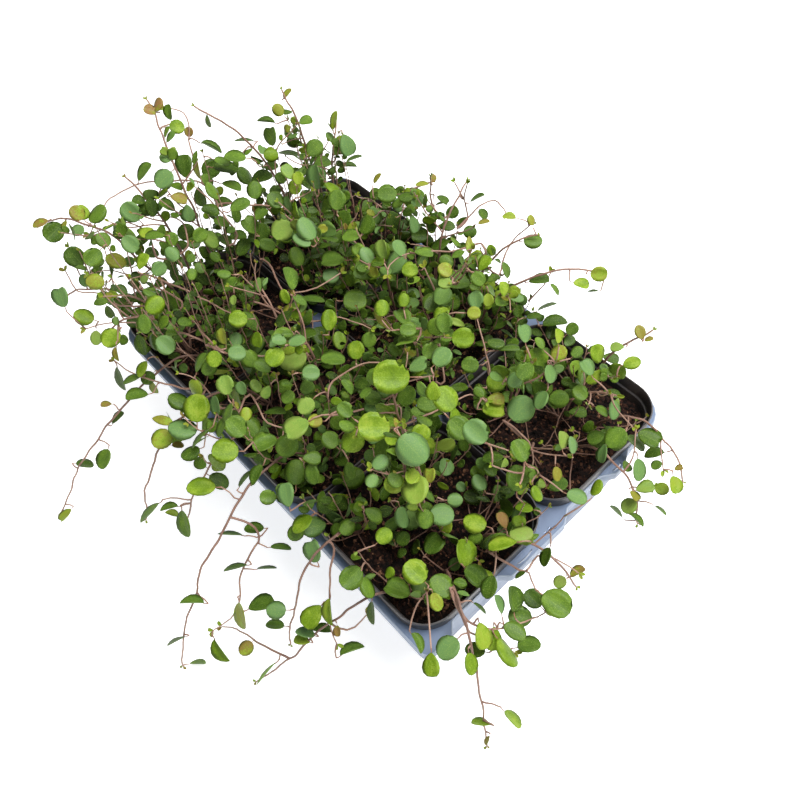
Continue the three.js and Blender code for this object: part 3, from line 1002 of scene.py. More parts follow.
# Each kind of leaf, in lengths of its blade: its width, how far its base and its tip are drawn out,
# how much it folds, cups, droops and is notched at its tip, and its stalk's length
LEAF_KINDS = rows_of("width base_power tip_power fold cup droop notch stalk", {
    "round": (0.97, 0.5, 0.5, 0.06, 0.25, 0.05, 0.0, 0.2),
    "dished": (0.92, 0.52, 0.46, 0.16, 0.7, -0.06, 0.0, 0.24),
    "domed": (0.94, 0.5, 0.52, -0.1, -0.35, 0.12, 0.0, 0.22),
    "oval": (0.76, 0.58, 0.54, 0.12, 0.2, 0.1, 0.0, 0.18),
    "spoon": (0.82, 0.74, 0.44, 0.08, 0.25, 0.14, 0.02, 0.16),
    "notched": (0.98, 0.56, 0.4, 0.1, 0.2, 0.05, 0.1, 0.2),
    "folded": (0.66, 0.56, 0.6, 0.62, 0.2, 0.12, 0.0, 0.16),
    "narrow": (0.46, 0.62, 0.72, 0.3, 0.1, 0.2, 0.0, 0.14),
    "young": (0.56, 0.66, 0.62, 0.7, 0.3, -0.12, 0.0, 0.08),
})
LEAF_NAMES = list(LEAF_KINDS)

# How often each kind grows, but for the young leaves at the tips
BLADES = ["round"] * 4 + ["dished"] * 2 + ["domed"] * 2 + ["oval"] * 2 + ["spoon"] * 2
BLADES += ["notched", "folded", "narrow"]
# The kinds that may be seen as broad, half broad or narrow
BROAD = ("round", "round", "dished", "domed")
HALF_BROAD = ("oval", "spoon", "round", "dished", "domed", "notched")
NARROW = ("oval", "spoon", "round", "folded")


def leaf_shape(name):
    """A closed thin blade with its stalk. The stalk starts at the origin and the blade runs along +X."""
    width, base_power, tip_power, fold, cup, droop, notch, stalk = LEAF_KINDS[name]
    peak_at = base_power / (base_power + tip_power)
    peak = peak_at**base_power * (1 - peak_at) ** tip_power
    points, marks, uvs = [], [], []
    gaps = range(len(ACROSS) - 1)

    def add_point(u, v, below):
        half = width / 2 * u**base_power * (1 - u) ** tip_power / peak if 0 < u < 1 else 0.0
        side = v * half
        lift = fold * abs(side) + cup * side * side - droop * u * u
        lift += 0.01 * math.sin(7 * u + 2 * v) * v * v
        if below:
            lift -= LEAF_THICKNESS * (1 - v * v) * math.sin(math.pi * u) ** 0.5
        back = notch * (1 - abs(v)) ** 2 * max(0.0, u - 0.7) / 0.3
        points.append(Vector((stalk + u - back, side, lift)))
        marks.append((1.0 if abs(v) == 1 or u in (0, 1) else 0.0, 1.0 if below else 0.0, 0.0))
        uvs.append((u, 0.5 + 0.5 * v))
        return len(points) - 1

    tail = add_point(0.0, 0.0, False)
    rows_above, rows_below = [], []
    for i in range(1, STATIONS + 1):
        u = (1 - math.cos(math.pi * i / (STATIONS + 1))) / 2
        above = [add_point(u, v, False) for v in ACROSS]
        inner = [add_point(u, v, True) for v in ACROSS[1:-1]]
        rows_above.append(above)
        rows_below.append([above[0], *inner, above[-1]])
    tip = add_point(1.0, 0.0, False)
    faces = []
    for rows, flip in ((rows_above, False), (rows_below, True)):
        found = []
        for here, there in zip(rows, rows[1:]):
            found += [(here[k], there[k], there[k + 1], here[k + 1]) for k in gaps]
        found += [(tail, rows[0][k], rows[0][k + 1]) for k in gaps]
        found += [(rows[-1][k], tip, rows[-1][k + 1]) for k in gaps]
        faces += [face[::-1] for face in found] if flip else found

    rings = []
    for share, beyond, thick, height in STALK_RINGS:
        rings.append(list(range(len(points), len(points) + 3)))
        for angle in THREE_SIDES:
            at = stalk * share + beyond
            points.append(Vector((at, thick * math.cos(angle), height + thick * math.sin(angle))))
            marks.append((0.0, 0.0, 1.0))
            uvs.append((0.0, 0.5))
    for here, there in zip(rings, rings[1:]):
        faces += [(here[k], here[(k + 1) % 3], there[(k + 1) % 3], there[k]) for k in range(3)]
    faces += [tuple(rings[0][::-1]), tuple(rings[-1])]

    mesh = bpy.data.meshes.new(f"leaf_{name}")
    mesh.from_pydata(points, [], faces)
    for index, mark in enumerate(("rim", "under", "stalk")):
        layer = mesh.attributes.new(mark, "FLOAT", "POINT")
        layer.data.foreach_set("value", [values[index] for values in marks])
    layer = mesh.uv_layers.new(name="leaf_uv")
    for loop in mesh.loops:
        layer.data[loop.index].uv = uvs[loop.vertex_index]
    mesh.shade_smooth()
    return bpy.data.objects.new(f"leaf_{LEAF_NAMES.index(name)}_{name}", mesh)


def grow_vine_tree():
    """A vine from its plan: lines with a thickness become stems, and marked points become leaves."""
    inputs = [
        ("Plan", "Geometry", None),
        ("Leaves", "Collection", None),
        ("Stem Sides", "Int", STEM_SIDES),
        ("Leaf Finish", "Material", None),
        ("Stem Finish", "Material", None),
    ]
    tree, given, out = open_group("grown_vine", "GeometryNodeTree", inputs, [("Vine", "Geometry")])
    shapes = add(tree, "GeometryNodeCollectionInfo", {
        "Collection": given["Leaves"],
        "Separate Children": True,
        "Reset Children": True,
    }).outputs[0]
    turn = named(tree, "turn", "FLOAT_VECTOR")
    leaves = add(tree, "GeometryNodeInstanceOnPoints", {
        "Points": given["Plan"],
        "Selection": named(tree, "leaf", "BOOLEAN"),
        "Instance": shapes,
        "Pick Instance": True,
        "Instance Index": named(tree, "kind", "INT"),
        "Rotation": add(tree, "FunctionNodeEulerToRotation", {"Euler": turn}).outputs[0],
        "Scale": named(tree, "size", "FLOAT"),
    }).outputs[0]
    leaves = add(tree, "GeometryNodeRealizeInstances", {"Geometry": leaves}).outputs[0]
    leaves = with_material(tree, leaves, given["Leaf Finish"])
    section = {"Resolution": given["Stem Sides"], "Radius": 1.0}
    stems = add(tree, "GeometryNodeCurveToMesh", {
        "Curve": add(tree, "GeometryNodeMeshToCurve", {"Mesh": given["Plan"]}).outputs[0],
        "Profile Curve": add(tree, "GeometryNodeCurvePrimitiveCircle", section).outputs[0],
        "Scale": named(tree, "thickness", "FLOAT"),
        "Fill Caps": True,
    }).outputs[0]
    stems = add(tree, "GeometryNodeSetShadeSmooth", {"Geometry": stems}).outputs[0]
    stems = with_material(tree, stems, given["Stem Finish"])
    feed(tree, out, {"Vine": joined(tree, leaves, stems)})
    return tree


# Growth


ROOT_DEPTH = 7
STEP = 3.0
LONG_BEND = 26
SHORT_BEND = 7
SIDE_SHOOT_BEND = 16
LEAF_SPREAD = 0.26
SMALLEST_LEAF = 4.5
LARGEST_LEAF = 16.0
PLACE_TRIES = 9
SIDE_SHOOT_TRIES = 8
UNDERGROWTH_TRIES = 900
CREEPER_STEPS = 40
CREEPER_REACH = 38
SEEN_BUD = 3.6
CREEPER_BUD = 2.6

# Each kind of stem: its radius at its start and at its end, and how old it looks there
LEADER = (0.8, 0.48, 0.85, 0.25)
SIDE_SHOOT = (0.48, 0.32, 0.5, 0.15)
SEEN_SHOOT = (0.66, 0.34, 0.5, 0.1)
SEEN_TWIG = (0.48, 0.36, 0.5, 0.2)
LOWER_SHOOT = (0.44, 0.25, 0.75, 0.15)
CREEPER = (0.34, 0.2, 0.9, 0.1)
STEM_SIDES = 6

# How a seen leaf is placed: the steps in depth along its line of sight, how high the thicket stands,
# how far its stalk may be from a stem, how many of the nearest places are tried, and how much a place
# gains by a stem that lies behind the stalk
SEEN_STEP = 3
THICKET_TOP = 192
TWIG_REACH = 32
SEEN_TRIES = 160
BEHIND_GAIN = 0.35
# The hundredths of width of a seen leaf for which none are given
FLAT = 95

# Each vine: where it is rooted from its pot's middle, where its tip ends in the tray's frame, the
# heights that it arches to and falls from, and its habit
VINES = rows_of("root tip arch fall habit", {
    "1a": ((-20, -30), (71, -135, 14), 112, 100, "trailing"),
    "1b": ((22, -33), (72, -160, 6), 128, 30, "trailing"),
    "1c": ((26, -12), (180, -92, 8), 114, 114, "trailing"),
    "1d": ((25, 8), (164, -14, 66), 106, 106, "hanging"),
    "1e": ((4, -2), (90, -50, 150), 138, 138, "bushy"),
    "1f": ((-20, 6), (60, -33, 160), 142, 142, "bushy"),
    "2a": ((-24, -14), (-41, -152, 30), 122, 122, "trailing"),
    "2b": ((0, -26), (-14, -137, 40), 114, 100, "hanging"),
    "2c": ((18, -20), (36, -186, 6), 118, 104, "trailing"),
    "2d": ((-22, 10), (-54, -30, 128), 124, 124, "bushy"),
    "2e": ((-13, -25), (-44, -118, 78), 110, 110, "hanging"),
    "2f": ((4, 8), (-4, -40, 142), 132, 132, "bushy"),
    "3a": ((-22, -10), (-197, -94, 120), 148, 148, "arching"),
    "3b": ((-12, -22), (-164, -110, 92), 118, 118, "arching"),
    "3c": ((-14, 14), (-155, -14, 185), 172, 172, "upright"),
    "3d": ((-26, 4), (-156, -42, 152), 150, 150, "arching"),
    "3e": ((2, -26), (-104, -106, 108), 122, 122, "arching"),
    "3f": ((16, -18), (-89, -189, 20), 112, 76, "trailing"),
    "4a": ((8, 20), (116, 88, 134), 124, 124, "upright"),
    "4b": ((24, 12), (166, 74, 58), 108, 108, "hanging"),
    "4c": ((26, -8), (163, 40, 50), 106, 106, "hanging"),
    "4d": ((-14, -14), (88, 8, 140), 130, 130, "bushy"),
    "4e": ((12, -24), (124, -18, 124), 118, 118, "bushy"),
    "4f": ((8, 2), (124, 52, 122), 116, 116, "bushy"),
    "5a": ((-18, 20), (-27, 104, 130), 124, 124, "upright"),
    "5b": ((8, 24), (32, 98, 130), 126, 126, "upright"),
    "5c": ((24, 14), (70, 107, 126), 128, 128, "upright"),
    "5d": ((22, -20), (46, -6, 146), 136, 136, "bushy"),
    "5e": ((6, -2), (30, 38, 140), 130, 130, "bushy"),
    "5f": ((-20, -10), (-26, 20, 132), 126, 126, "bushy"),
    "6a": ((-20, -12), (-139, 6, 180), 164, 164, "upright"),
    "6b": ((-20, 10), (-132, 58, 165), 154, 154, "upright"),
    "6c": ((-2, 6), (-104, 72, 152), 138, 138, "upright"),
    "6d": ((24, 18), (-42, 91, 130), 124, 124, "upright"),
    "6e": ((0, 22), (-59, 68, 110), 116, 116, "bushy"),
    "6f": ((20, -16), (-56, 8, 140), 132, 132, "bushy"),
})

# Each habit: the leader's leaf size, the gap between its nodes, leaves at a node, its bare share at
# the base, its side shoots and their length
HABITS = {
    "trailing": (10.0, 20.0, 1.5, 0.25, 1, 26.0),
    "hanging": (10.5, 13.0, 1.4, 0.25, 3, 26.0),
    "bushy": (10.5, 10.0, 1.2, 0.3, 4, 30.0),
    "arching": (8.5, 11.0, 1.4, 0.15, 8, 34.0),
    "upright": (7.5, 9.0, 1.3, 0.15, 9, 34.0),
}

# Undergrowth of each pot: its leaf size, the gap between its shoots, and how high they stand
UNDERGROWTH = {
    1: (8.5, 11.0, (8, 56)),
    2: (8.0, 9.0, (12, 66)),
    3: (6.5, 8.0, (6, 95)),
    4: (8.0, 10.5, (8, 36)),
    5: (7.0, 8.5, (10, 46)),
    6: (6.5, 7.5, (10, 95)),
}

# Where the soil shows in the photo: x, y and radius in the tray's frame
BARE_SOIL = [
    (112, -30, 15), (118, -66, 10), (122, 30, 14), (116, 72, 16), (84, 18, 8),
    (-20, -66, 10), (-110, -66, 13), (-70, -30, 10), (-118, -40, 10),
]

# The leaves that the photo shows best, by their colour: the middle in the photo's pixels, the length in
# pixels and, where the leaf isn't seen flat, its width in hundredths of that and how its midrib lies,
# in degrees clockwise from the photo's X axis
SEEN_LEAVES = {
    "bright": [
        (374, 427, 33), (391, 377, 38), (384, 536, 18), (463, 553, 28, 75, 80), (475, 522, 24, 80, 20),
        (410, 270, 17), (504, 289, 16, 70, 90), (455, 416, 18, 60, 80), (275, 357, 21), (214, 359, 17),
        (382, 308, 17), (356, 350, 19), (257, 340, 17, 75, 90), (484, 263, 18, 65, -60),
        (581, 285, 16, 70, 20), (632, 363, 18, 75, -15), (201, 487, 29, 68, 0), (225, 451, 27),
        (312, 616, 27, 75, -50), (431, 665, 24, 75, 90), (483, 636, 27, 70, 75), (494, 639, 24, 70, 90),
        (238, 319, 19), (84, 316, 20, 80, 20), (111, 338, 21), (155, 305, 21), (302, 524, 24, 60, -40),
        (415, 572, 27), (445, 399, 28), (494, 409, 24, 80, 0), (463, 338, 23), (433, 391, 20, 80, 90),
        (509, 651, 32, 60, 50), (329, 320, 22, 80, 90), (142, 261, 18, 60, -70), (177, 127, 15),
        (197, 408, 29), (595, 487, 18, 60, -70), (271, 155, 15), (295, 187, 15), (142, 369, 18, 50, -60),
        (221, 651, 27, 30, 60), (524, 508, 18, 60, 10), (538, 493, 17, 75, 60), (353, 441, 25),
        (404, 300, 14), (481, 722, 20, 35, 15), (513, 719, 22, 50, 45), (471, 664, 22, 60, 80),
        (502, 543, 30, 45, -5), (483, 578, 26, 75, 35),
    ],
    "mid": [
        (517, 478, 27, 85, 90), (519, 451, 24, 85, 60), (425, 519, 20), (373, 514, 19, 75, 30),
        (350, 471, 18, 70, 80), (347, 527, 18), (397, 589, 28, 75, 25), (441, 586, 26), (351, 577, 26),
        (520, 617, 24), (529, 645, 24, 70, -10), (459, 428, 26), (332, 260, 25, 65, 0), (337, 200, 20),
        (355, 301, 24), (333, 359, 25, 65, 0), (236, 427, 24), (444, 323, 20), (457, 283, 26, 70, 0),
        (533, 240, 19, 80, -5), (559, 399, 20), (580, 393, 17), (616, 438, 24), (596, 437, 19, 75, -20),
        (249, 359, 20), (96, 213, 22, 70, -60), (93, 257, 20), (103, 240, 16), (144, 324, 20, 70, 80),
        (265, 444, 26, 75, -25), (287, 446, 24), (312, 458, 19, 75, 0), (268, 497, 17),
        (235, 157, 22, 55, 5), (296, 472, 26), (312, 474, 22, 70, 80), (296, 533, 18), (249, 428, 25),
        (315, 148, 18), (387, 194, 20), (271, 136, 19, 65, 80), (306, 122, 14, 65, -5),
        (351, 236, 19, 55, -10), (424, 252, 20, 50, 0), (298, 256, 20, 80, 70), (209, 368, 17),
        (200, 362, 22, 30, -70), (262, 368, 18, 70, 20), (288, 397, 15), (137, 397, 22, 60, -15),
        (104, 459, 21, 65, -70), (143, 171, 22, 40, -65), (184, 524, 28, 45, 80), (149, 512, 26, 20, -42),
        (169, 508, 18, 40, -10), (281, 547, 21, 35, 0), (192, 602, 24, 30, 5), (198, 662, 16, 30, -10),
        (265, 673, 28, 15, -45), (352, 650, 26, 30, -25), (637, 520, 18, 30, 38), (617, 511, 17, 25, 50),
        (661, 510, 14, 25, 35), (602, 411, 15, 50, 35), (228, 413, 22, 40, -70), (222, 427, 22, 35, -65),
        (200, 437, 27, 20, -42), (132, 379, 20, 30, -20), (170, 112, 15, 60, 85), (430, 350, 18),
        (408, 330, 17), (300, 300, 16, 60, 30), (366, 392, 16, 50, -30), (470, 365, 18),
        (425, 420, 17, 70, 20), (395, 480, 17), (330, 440, 19), (345, 410, 18), (506, 270, 17, 50, 80),
        (494, 279, 14, 50, -20), (540, 343, 14, 60, 60), (478, 279, 16), (572, 329, 14), (577, 352, 13),
        (525, 371, 20), (168, 205, 18, 60, 40), (214, 190, 20, 60, 60), (427, 404, 21),
        (418, 413, 16, 70, 30), (440, 413, 17, 60, -30), (240, 205, 22, 60, -30), (232, 185, 20, 50, 10),
        (255, 190, 18), (250, 225, 20, 70, 50), (275, 200, 18), (262, 215, 16, 60, -40), (200, 235, 16),
        (222, 222, 17, 60, 30), (556, 604, 32, 85, 35), (515, 631, 25, 70, 30), (417, 643, 22, 40, 60),
        (275, 625, 19, 50, 5), (369, 587, 22, 60, 60), (288, 279, 24, 60, 65), (231, 285, 19, 60, -50),
        (224, 273, 14, 70, 10), (215, 257, 12), (155, 235, 20, 45, 0), (172, 239, 14), (191, 258, 10),
        (200, 268, 12), (192, 274, 12), (208, 121, 13, 40, 80), (150, 292, 14, 60, 20), (446, 262, 16),
        (470, 264, 15, 60, 40), (458, 254, 14, 50, -20), (208, 182, 18, 60, 70), (222, 162, 16, 50, 20),
        (555, 289, 14, 40, 50), (267, 245, 18, 80, 20), (404, 360, 16, 35, -45), (373, 397, 17, 80, 10),
        (508, 398, 17, 70, 20), (479, 392, 13), (347, 387, 18, 50, 50), (369, 340, 16),
    ],
    # Dark leaves: a darker green that is partly their own and partly painted shade
    "dark": [
        (493, 457, 22, 55, 0), (434, 544, 24, 80, -50), (476, 576, 27, 75, 40), (489, 587, 24, 70, -70),
        (512, 599, 26, 60, 80), (533, 599, 21), (392, 221, 20, 85, 80), (539, 279, 21, 60, -15),
        (611, 358, 17, 60, 10), (509, 348, 22, 40, -10), (184, 166, 23, 75, 80), (211, 169, 20),
        (54, 232, 22), (75, 257, 22), (169, 300, 24, 70, 70), (141, 345, 22, 45, 75), (85, 464, 17, 50, 5),
        (219, 481, 22, 80, 30), (190, 452, 20, 70, -20), (257, 475, 22, 50, -60), (245, 478, 21, 25, -55),
        (546, 557, 20, 60, -70), (230, 534, 25, 12, 5), (267, 568, 20, 20, -5), (235, 567, 24, 20, -10),
        (176, 640, 20, 20, -20), (261, 603, 27, 65, -25), (212, 147, 22, 15, 22), (266, 121, 18, 15, 12),
        (650, 438, 25, 75, 25), (636, 443, 22, 50, 40), (654, 454, 20, 55, -10), (578, 412, 18, 60, 0),
        (271, 166, 15, 60, 0), (354, 158, 17, 20, -25), (350, 166, 14, 25, -5), (290, 154, 24, 30, 10),
        (323, 162, 19, 65, 10), (406, 196, 16, 70, 0), (120, 379, 25, 40, 75), (148, 378, 15),
        (117, 417, 16, 45, -55), (155, 342, 18, 70, 80), (179, 400, 22, 75, 30), (254, 528, 20, 60, 0),
        (275, 411, 22, 35, -10), (305, 335, 24, 50, -20), (365, 205, 16), (440, 245, 22, 60, -25),
        (420, 235, 18), (496, 342, 18, 70, 0), (499, 324, 16, 60, -40), (518, 311, 13),
        (534, 316, 16, 50, -10), (555, 323, 25, 50, -10), (556, 345, 14, 60, 60), (612, 393, 18, 50, 10),
        (226, 168, 24, 50, 5), (246, 175, 20, 60, 60), (262, 178, 22, 50, -10), (200, 197, 20, 60, 80),
        (210, 212, 18, 70, 20), (186, 232, 18), (238, 238, 18, 60, 0), (262, 232, 18),
        (475, 650, 21, 70, 10), (480, 608, 16, 25, 40), (520, 575, 12, 35, -30), (322, 630, 20, 45, 10),
        (372, 613, 23, 35, 88), (175, 274, 18, 55, 80), (203, 253, 14, 70, 60), (202, 302, 12),
        (185, 307, 12), (243, 247, 20, 70, -60), (284, 318, 22, 50, -40), (313, 299, 24, 35, 0),
        (251, 321, 24, 50, 55), (202, 330, 17, 40, -45), (254, 300, 12), (244, 140, 20, 25, 5),
        (165, 247, 15, 60, 40), (181, 246, 14, 70, -20), (184, 264, 15, 60, 10), (170, 264, 14),
        (160, 283, 15, 60, -40), (134, 287, 15, 60, 30), (128, 300, 14), (144, 302, 13, 70, 0),
        (225, 240, 15, 70, 30), (234, 168, 16, 50, -60), (224, 202, 17, 60, 0), (236, 215, 16, 60, 70),
        (547, 306, 20, 20, -25), (483, 214, 12, 70, 50), (477, 197, 16, 25, -35), (593, 291, 11, 30, 0),
        (462, 270, 14, 60, 80), (474, 276, 13), (122, 290, 14, 70, 40), (118, 303, 13),
        (136, 296, 14, 70, -30), (126, 311, 13), (140, 313, 15, 60, 20), (133, 322, 13), (149, 316, 14),
        (110, 312, 14, 60, 60), (152, 254, 14, 70, 0), (194, 243, 13), (212, 246, 13, 70, 30),
        (490, 470, 16, 80, 40), (479, 487, 18, 75, 60), (443, 200, 14, 60, 30), (452, 212, 14),
        (462, 222, 15, 60, -40), (470, 232, 14), (448, 226, 15, 70, 10),
    ],
    "cool": [
        (413, 449, 37), (476, 432, 28), (445, 467, 18, 85, 80), (404, 517, 22, 75, 70), (442, 515, 25),
        (521, 409, 29), (442, 357, 22), (524, 333, 20, 70, 80), (550, 374, 19, 65, 80),
        (587, 367, 19, 80, 60), (541, 400, 20, 75, -60), (308, 228, 25, 85, 60), (302, 240, 20, 70, 30),
        (331, 276, 17), (367, 255, 18, 85, 60), (399, 248, 18, 80, 60), (414, 224, 18, 65, 70),
        (297, 341, 18, 75, -20), (164, 179, 21), (131, 212, 22), (130, 244, 19), (159, 269, 16),
        (188, 213, 17, 80, 80), (448, 648, 26), (480, 482, 18, 80, 60), (461, 487, 11),
        (286, 495, 25, 70, 75), (313, 551, 24, 70, 70), (276, 610, 20), (614, 410, 20, 55, 85),
        (572, 445, 18, 50, 85), (577, 497, 21, 75, 20), (61, 297, 21, 70, 70), (602, 453, 20, 55, -70),
        (639, 470, 23, 55, 85), (347, 145, 22, 70, 70), (317, 177, 24, 60, 85), (165, 345, 21),
        (236, 340, 16), (237, 353, 18), (242, 388, 14, 80, 70), (311, 373, 18), (215, 406, 21, 50, 75),
        (183, 427, 29, 75, 10), (455, 500, 16), (380, 462, 18), (515, 380, 17), (476, 300, 18),
        (500, 604, 20, 45, 80), (305, 633, 20, 50, 15), (172, 254, 16), (279, 341, 15, 80, 0),
    ],
    "pale": [
        (212, 239, 19, 85, 50), (561, 440, 18, 60, 80), (226, 385, 20, 85, 80), (256, 386, 15, 80, 50),
        (266, 392, 14, 80, 120), (306, 406, 19), (521, 533, 24, 80, -15), (560, 582, 14),
        (296, 428, 28, 80, -30), (383, 249, 19, 70, 85), (288, 172, 17, 80, 60), (645, 487, 19, 75, -20),
        (629, 506, 17), (445, 283, 14), (617, 347, 14, 70, 0), (234, 300, 10, 80, 90),
        (96, 338, 15, 80, 90), (282, 230, 23),
    ],
    "olive": [
        (436, 602, 19, 80, 70), (430, 475, 16, 80, 90), (496, 399, 18, 75, 0), (445, 270, 16),
        (474, 313, 14), (559, 353, 17), (162, 439, 22), (95, 282, 18), (77, 213, 16),
        (116, 261, 21, 75, 20), (65, 515, 16, 60, -45), (246, 648, 16), (302, 640, 17, 60, 15),
        (599, 274, 17), (532, 220, 11, 75, 80), (640, 332, 15, 75, 75), (662, 489, 14),
        (674, 485, 18, 70, 85), (635, 496, 13, 70, 50), (278, 110, 13), (334, 120, 18, 50, -85),
        (298, 178, 13), (377, 178, 12, 40, -60), (422, 184, 14, 35, 0), (224, 336, 17, 60, 80),
        (315, 421, 15), (172, 514, 14, 50, 20), (246, 414, 14), (241, 616, 27, 30, 80), (488, 300, 13),
        (557, 336, 15, 60, 80), (197, 170, 18, 40, 70), (330, 612, 27, 30, 90), (509, 217, 14, 50, 10),
        (484, 222, 12, 40, -15),
    ],
    "bronze": [
        (503, 520, 18, 65, 70), (578, 573, 17, 60, -25), (557, 474, 15, 60, 80), (150, 111, 13, 80, 10),
        (157, 104, 14, 60, -80), (40, 223, 16, 50, -20), (179, 198, 17, 70, 10), (649, 339, 9, 60, -20),
        (189, 132, 10), (117, 354, 15, 40, 85), (487, 740, 10, 50, -60), (287, 93, 12, 45, -55),
        (679, 468, 9, 70, -20), (106, 404, 11, 65, 0), (178, 445, 12, 60, 0), (235, 406, 9, 60, 45),
        (433, 178, 8), (338, 631, 11, 70, 80),
    ],
}

# The shoots that stand out in the photo: how high each begins and ends, and its spots in the photo's pixels
SEEN_SHOOTS = [
    (126, 132, [(330, 386), (346, 373), (370, 363), (396, 364)]),
    (128, 134, [(330, 415), (362, 409), (397, 405), (402, 418)]),
    (130, 134, [(402, 426), (437, 408), (471, 394), (487, 401)]),
    (118, 88, [(503, 421), (525, 437), (534, 455), (531, 479)]),
    (112, 110, [(479, 442), (509, 453)]),
    (104, 128, [(491, 381), (478, 319)]),
    (116, 134, [(445, 381), (439, 330)]),
    (116, 138, [(418, 357), (410, 330)]),
    (112, 148, [(439, 218), (431, 199), (430, 183), (432, 177)]),
    (112, 140, [(467, 219), (464, 199), (468, 183)]),
    (126, 138, [(464, 199), (455, 181)]),
    (112, 120, [(467, 219), (481, 205), (494, 201), (504, 209), (506, 218)]),
    (104, 118, [(529, 301), (545, 284), (551, 273)]),
    (128, 134, [(481, 243), (453, 251), (407, 255), (390, 265), (388, 275)]),
    (112, 130, [(437, 298), (424, 267)]),
    (130, 160, [(201, 176), (190, 147), (189, 130), (184, 113), (165, 109)]),
    (134, 128, [(218, 205), (201, 183), (159, 181), (137, 183), (107, 202), (90, 234)]),
    (128, 124, [(157, 258), (146, 231), (118, 224), (90, 235)]),
    (130, 134, [(187, 247), (182, 222), (157, 216)]),
    (132, 136, [(218, 205), (250, 206), (284, 204), (312, 191)]),
    (120, 140, [(237, 236), (215, 205), (193, 186)]),
    (108, 116, [(182, 302), (159, 288), (118, 272), (90, 274)]),
    (116, 118, [(268, 263), (284, 291), (318, 288), (340, 274)]),
    (100, 68, [(450, 588), (460, 612), (470, 632), (492, 640), (514, 652)]),
    (98, 70, [(452, 590), (468, 620), (492, 627), (520, 622), (545, 612)]),
    (86, 84, [(512, 566), (526, 572), (538, 556), (556, 558), (578, 573)]),
    (120, 124, [(150, 275), (200, 296), (236, 318)]),
    (112, 108, [(250, 395), (268, 424), (300, 430)]),
    (110, 116, [(200, 330), (226, 352), (262, 356), (300, 345)]),
    (108, 112, [(268, 306), (300, 322), (340, 318), (372, 330)]),
    (88, 30, [(250, 524), (259, 537), (248, 560), (240, 578), (240, 600), (231, 619), (214, 630)]),
    (90, 50, [(334, 548), (330, 575), (329, 597), (330, 622), (338, 643)]),
    (32, 14, [(285, 656), (266, 647), (250, 637), (236, 629), (222, 627)]),
    (62, 66, [(338, 628), (354, 627), (366, 616)]),
    (106, 128, [(499, 276), (503, 262), (508, 247), (515, 237), (523, 230), (531, 225)]),
    (104, 112, [(226, 352), (200, 340), (170, 330), (138, 322), (110, 322), (86, 329)]),
    (104, 114, [(150, 306), (134, 306), (114, 303), (99, 293), (79, 291), (66, 272)]),
    (94, 90, [(206, 388), (186, 388), (166, 384), (150, 379), (134, 374), (114, 362)]),
]

# Each colour: its place on the ramp of leaf tints, how blue it is, and how much a seen leaf of it wants
# to grow high, where the light is
LEAF_TONES = rows_of("tint cool rise", {
    "bright": (0.72, 0.0, 0.17),
    "mid": (0.5, 0.15, 0.06),
    # The dark tone is partly painted shade
    "dark": (0.28, 0.06, -0.05),
    "cool": (0.5, 0.75, 0.13),
    "pale": (0.83, 0.4, 0.2),
    "olive": (0.9, 0.0, 0.12),
    "bronze": (0.97, 0.0, 0.1),
})

# The colours of the leaves that aren't placed one by one
GROWN_TONES = ["bright", "mid", "dark", "cool", "pale", "olive"]

# Where the photo looks past the leaves to soil, pots or tray: x, y and radius in its pixels
OPEN_VIEWS = [
    (432, 628, 24), (398, 606, 16), (372, 562, 12), (368, 546, 12), (490, 563, 12), (520, 556, 16),
    (548, 526, 16), (570, 503, 12), (512, 436, 12), (553, 465, 14), (640, 402, 16), (628, 422, 14),
    (582, 345, 9), (536, 440, 16), (603, 392, 12), (494, 358, 9), (268, 306, 16), (304, 291, 9),
    (126, 302, 12), (192, 350, 14), (360, 186, 14), (590, 468, 14), (573, 428, 12), (604, 468, 12),
    (160, 362, 12), (178, 382, 12), (232, 440, 9), (266, 482, 9), (330, 548, 9), (385, 612, 12),
    (216, 385, 8), (238, 372, 7), (270, 400, 8), (255, 270, 12), (485, 512, 9), (495, 480, 9),
]
# The outline, in the photo's pixels, of the part that is grown over. Outside it only the seen leaves grow.
OVERGROWN = [
    (52, 230), (92, 207), (134, 204), (158, 190), (168, 118), (182, 125), (190, 150), (226, 146),
    (258, 150), (262, 118), (290, 110), (306, 146), (326, 122), (342, 140), (352, 180), (384, 196),
    (402, 190), (436, 194), (456, 216), (484, 226), (496, 252), (506, 284), (548, 300), (566, 326),
    (612, 352), (634, 376), (650, 408), (664, 440), (668, 478), (642, 498), (622, 478), (604, 470),
    (590, 500), (560, 522), (544, 548), (530, 574), (534, 600), (512, 634), (478, 634), (462, 600),
    (436, 612), (404, 598), (372, 580), (352, 562), (318, 532), (290, 508), (262, 500), (238, 482),
    (206, 476), (184, 442), (158, 420), (150, 392), (128, 366), (112, 332), (90, 292), (72, 262),
]

# Leaves turn their faces to the light
LIGHT_FROM = Vector((0.28, -0.26, 1.0)).normalized()
SEED = 20
# Noise vectors bend the stems, and they are the same in each run only where noise has a seed
BEND_SEED = 3


def bezier(start, rising, falling, end, share):
    rest = 1 - share
    return (
        start * rest**3
        + rising * 3 * rest**2 * share
        + falling * 3 * rest * share**2
        + end * share**3
    )


def random_vector(dice):
    return Vector((dice.gauss(0, 1), dice.gauss(0, 1), dice.gauss(0, 1)))


def sideways(heading, other):
    """The direction square to a heading and another one."""
    across = heading.cross(other)
    if across.length < 0.1:
        across = heading.orthogonal()
    return across.normalized()


def wander(path, seed, reach=2.4, held=14.0):
    """The same path with the small irregular bends of a wiry stem, none at its start."""
    offset = Vector((seed * 7.3, seed * 3.1, seed * 5.7))
    found = [path[0]]
    travelled = 0.0
    for before, here in zip(path, path[1:]):
        travelled += (here - before).length
        ease = min(1.0, travelled / held) ** 2
        drift = noise.noise_vector(here / LONG_BEND + offset) * reach
        kink = noise.noise_vector(here / SHORT_BEND + offset) * 0.7
        found.append(here + (drift + kink) * ease)
    return found


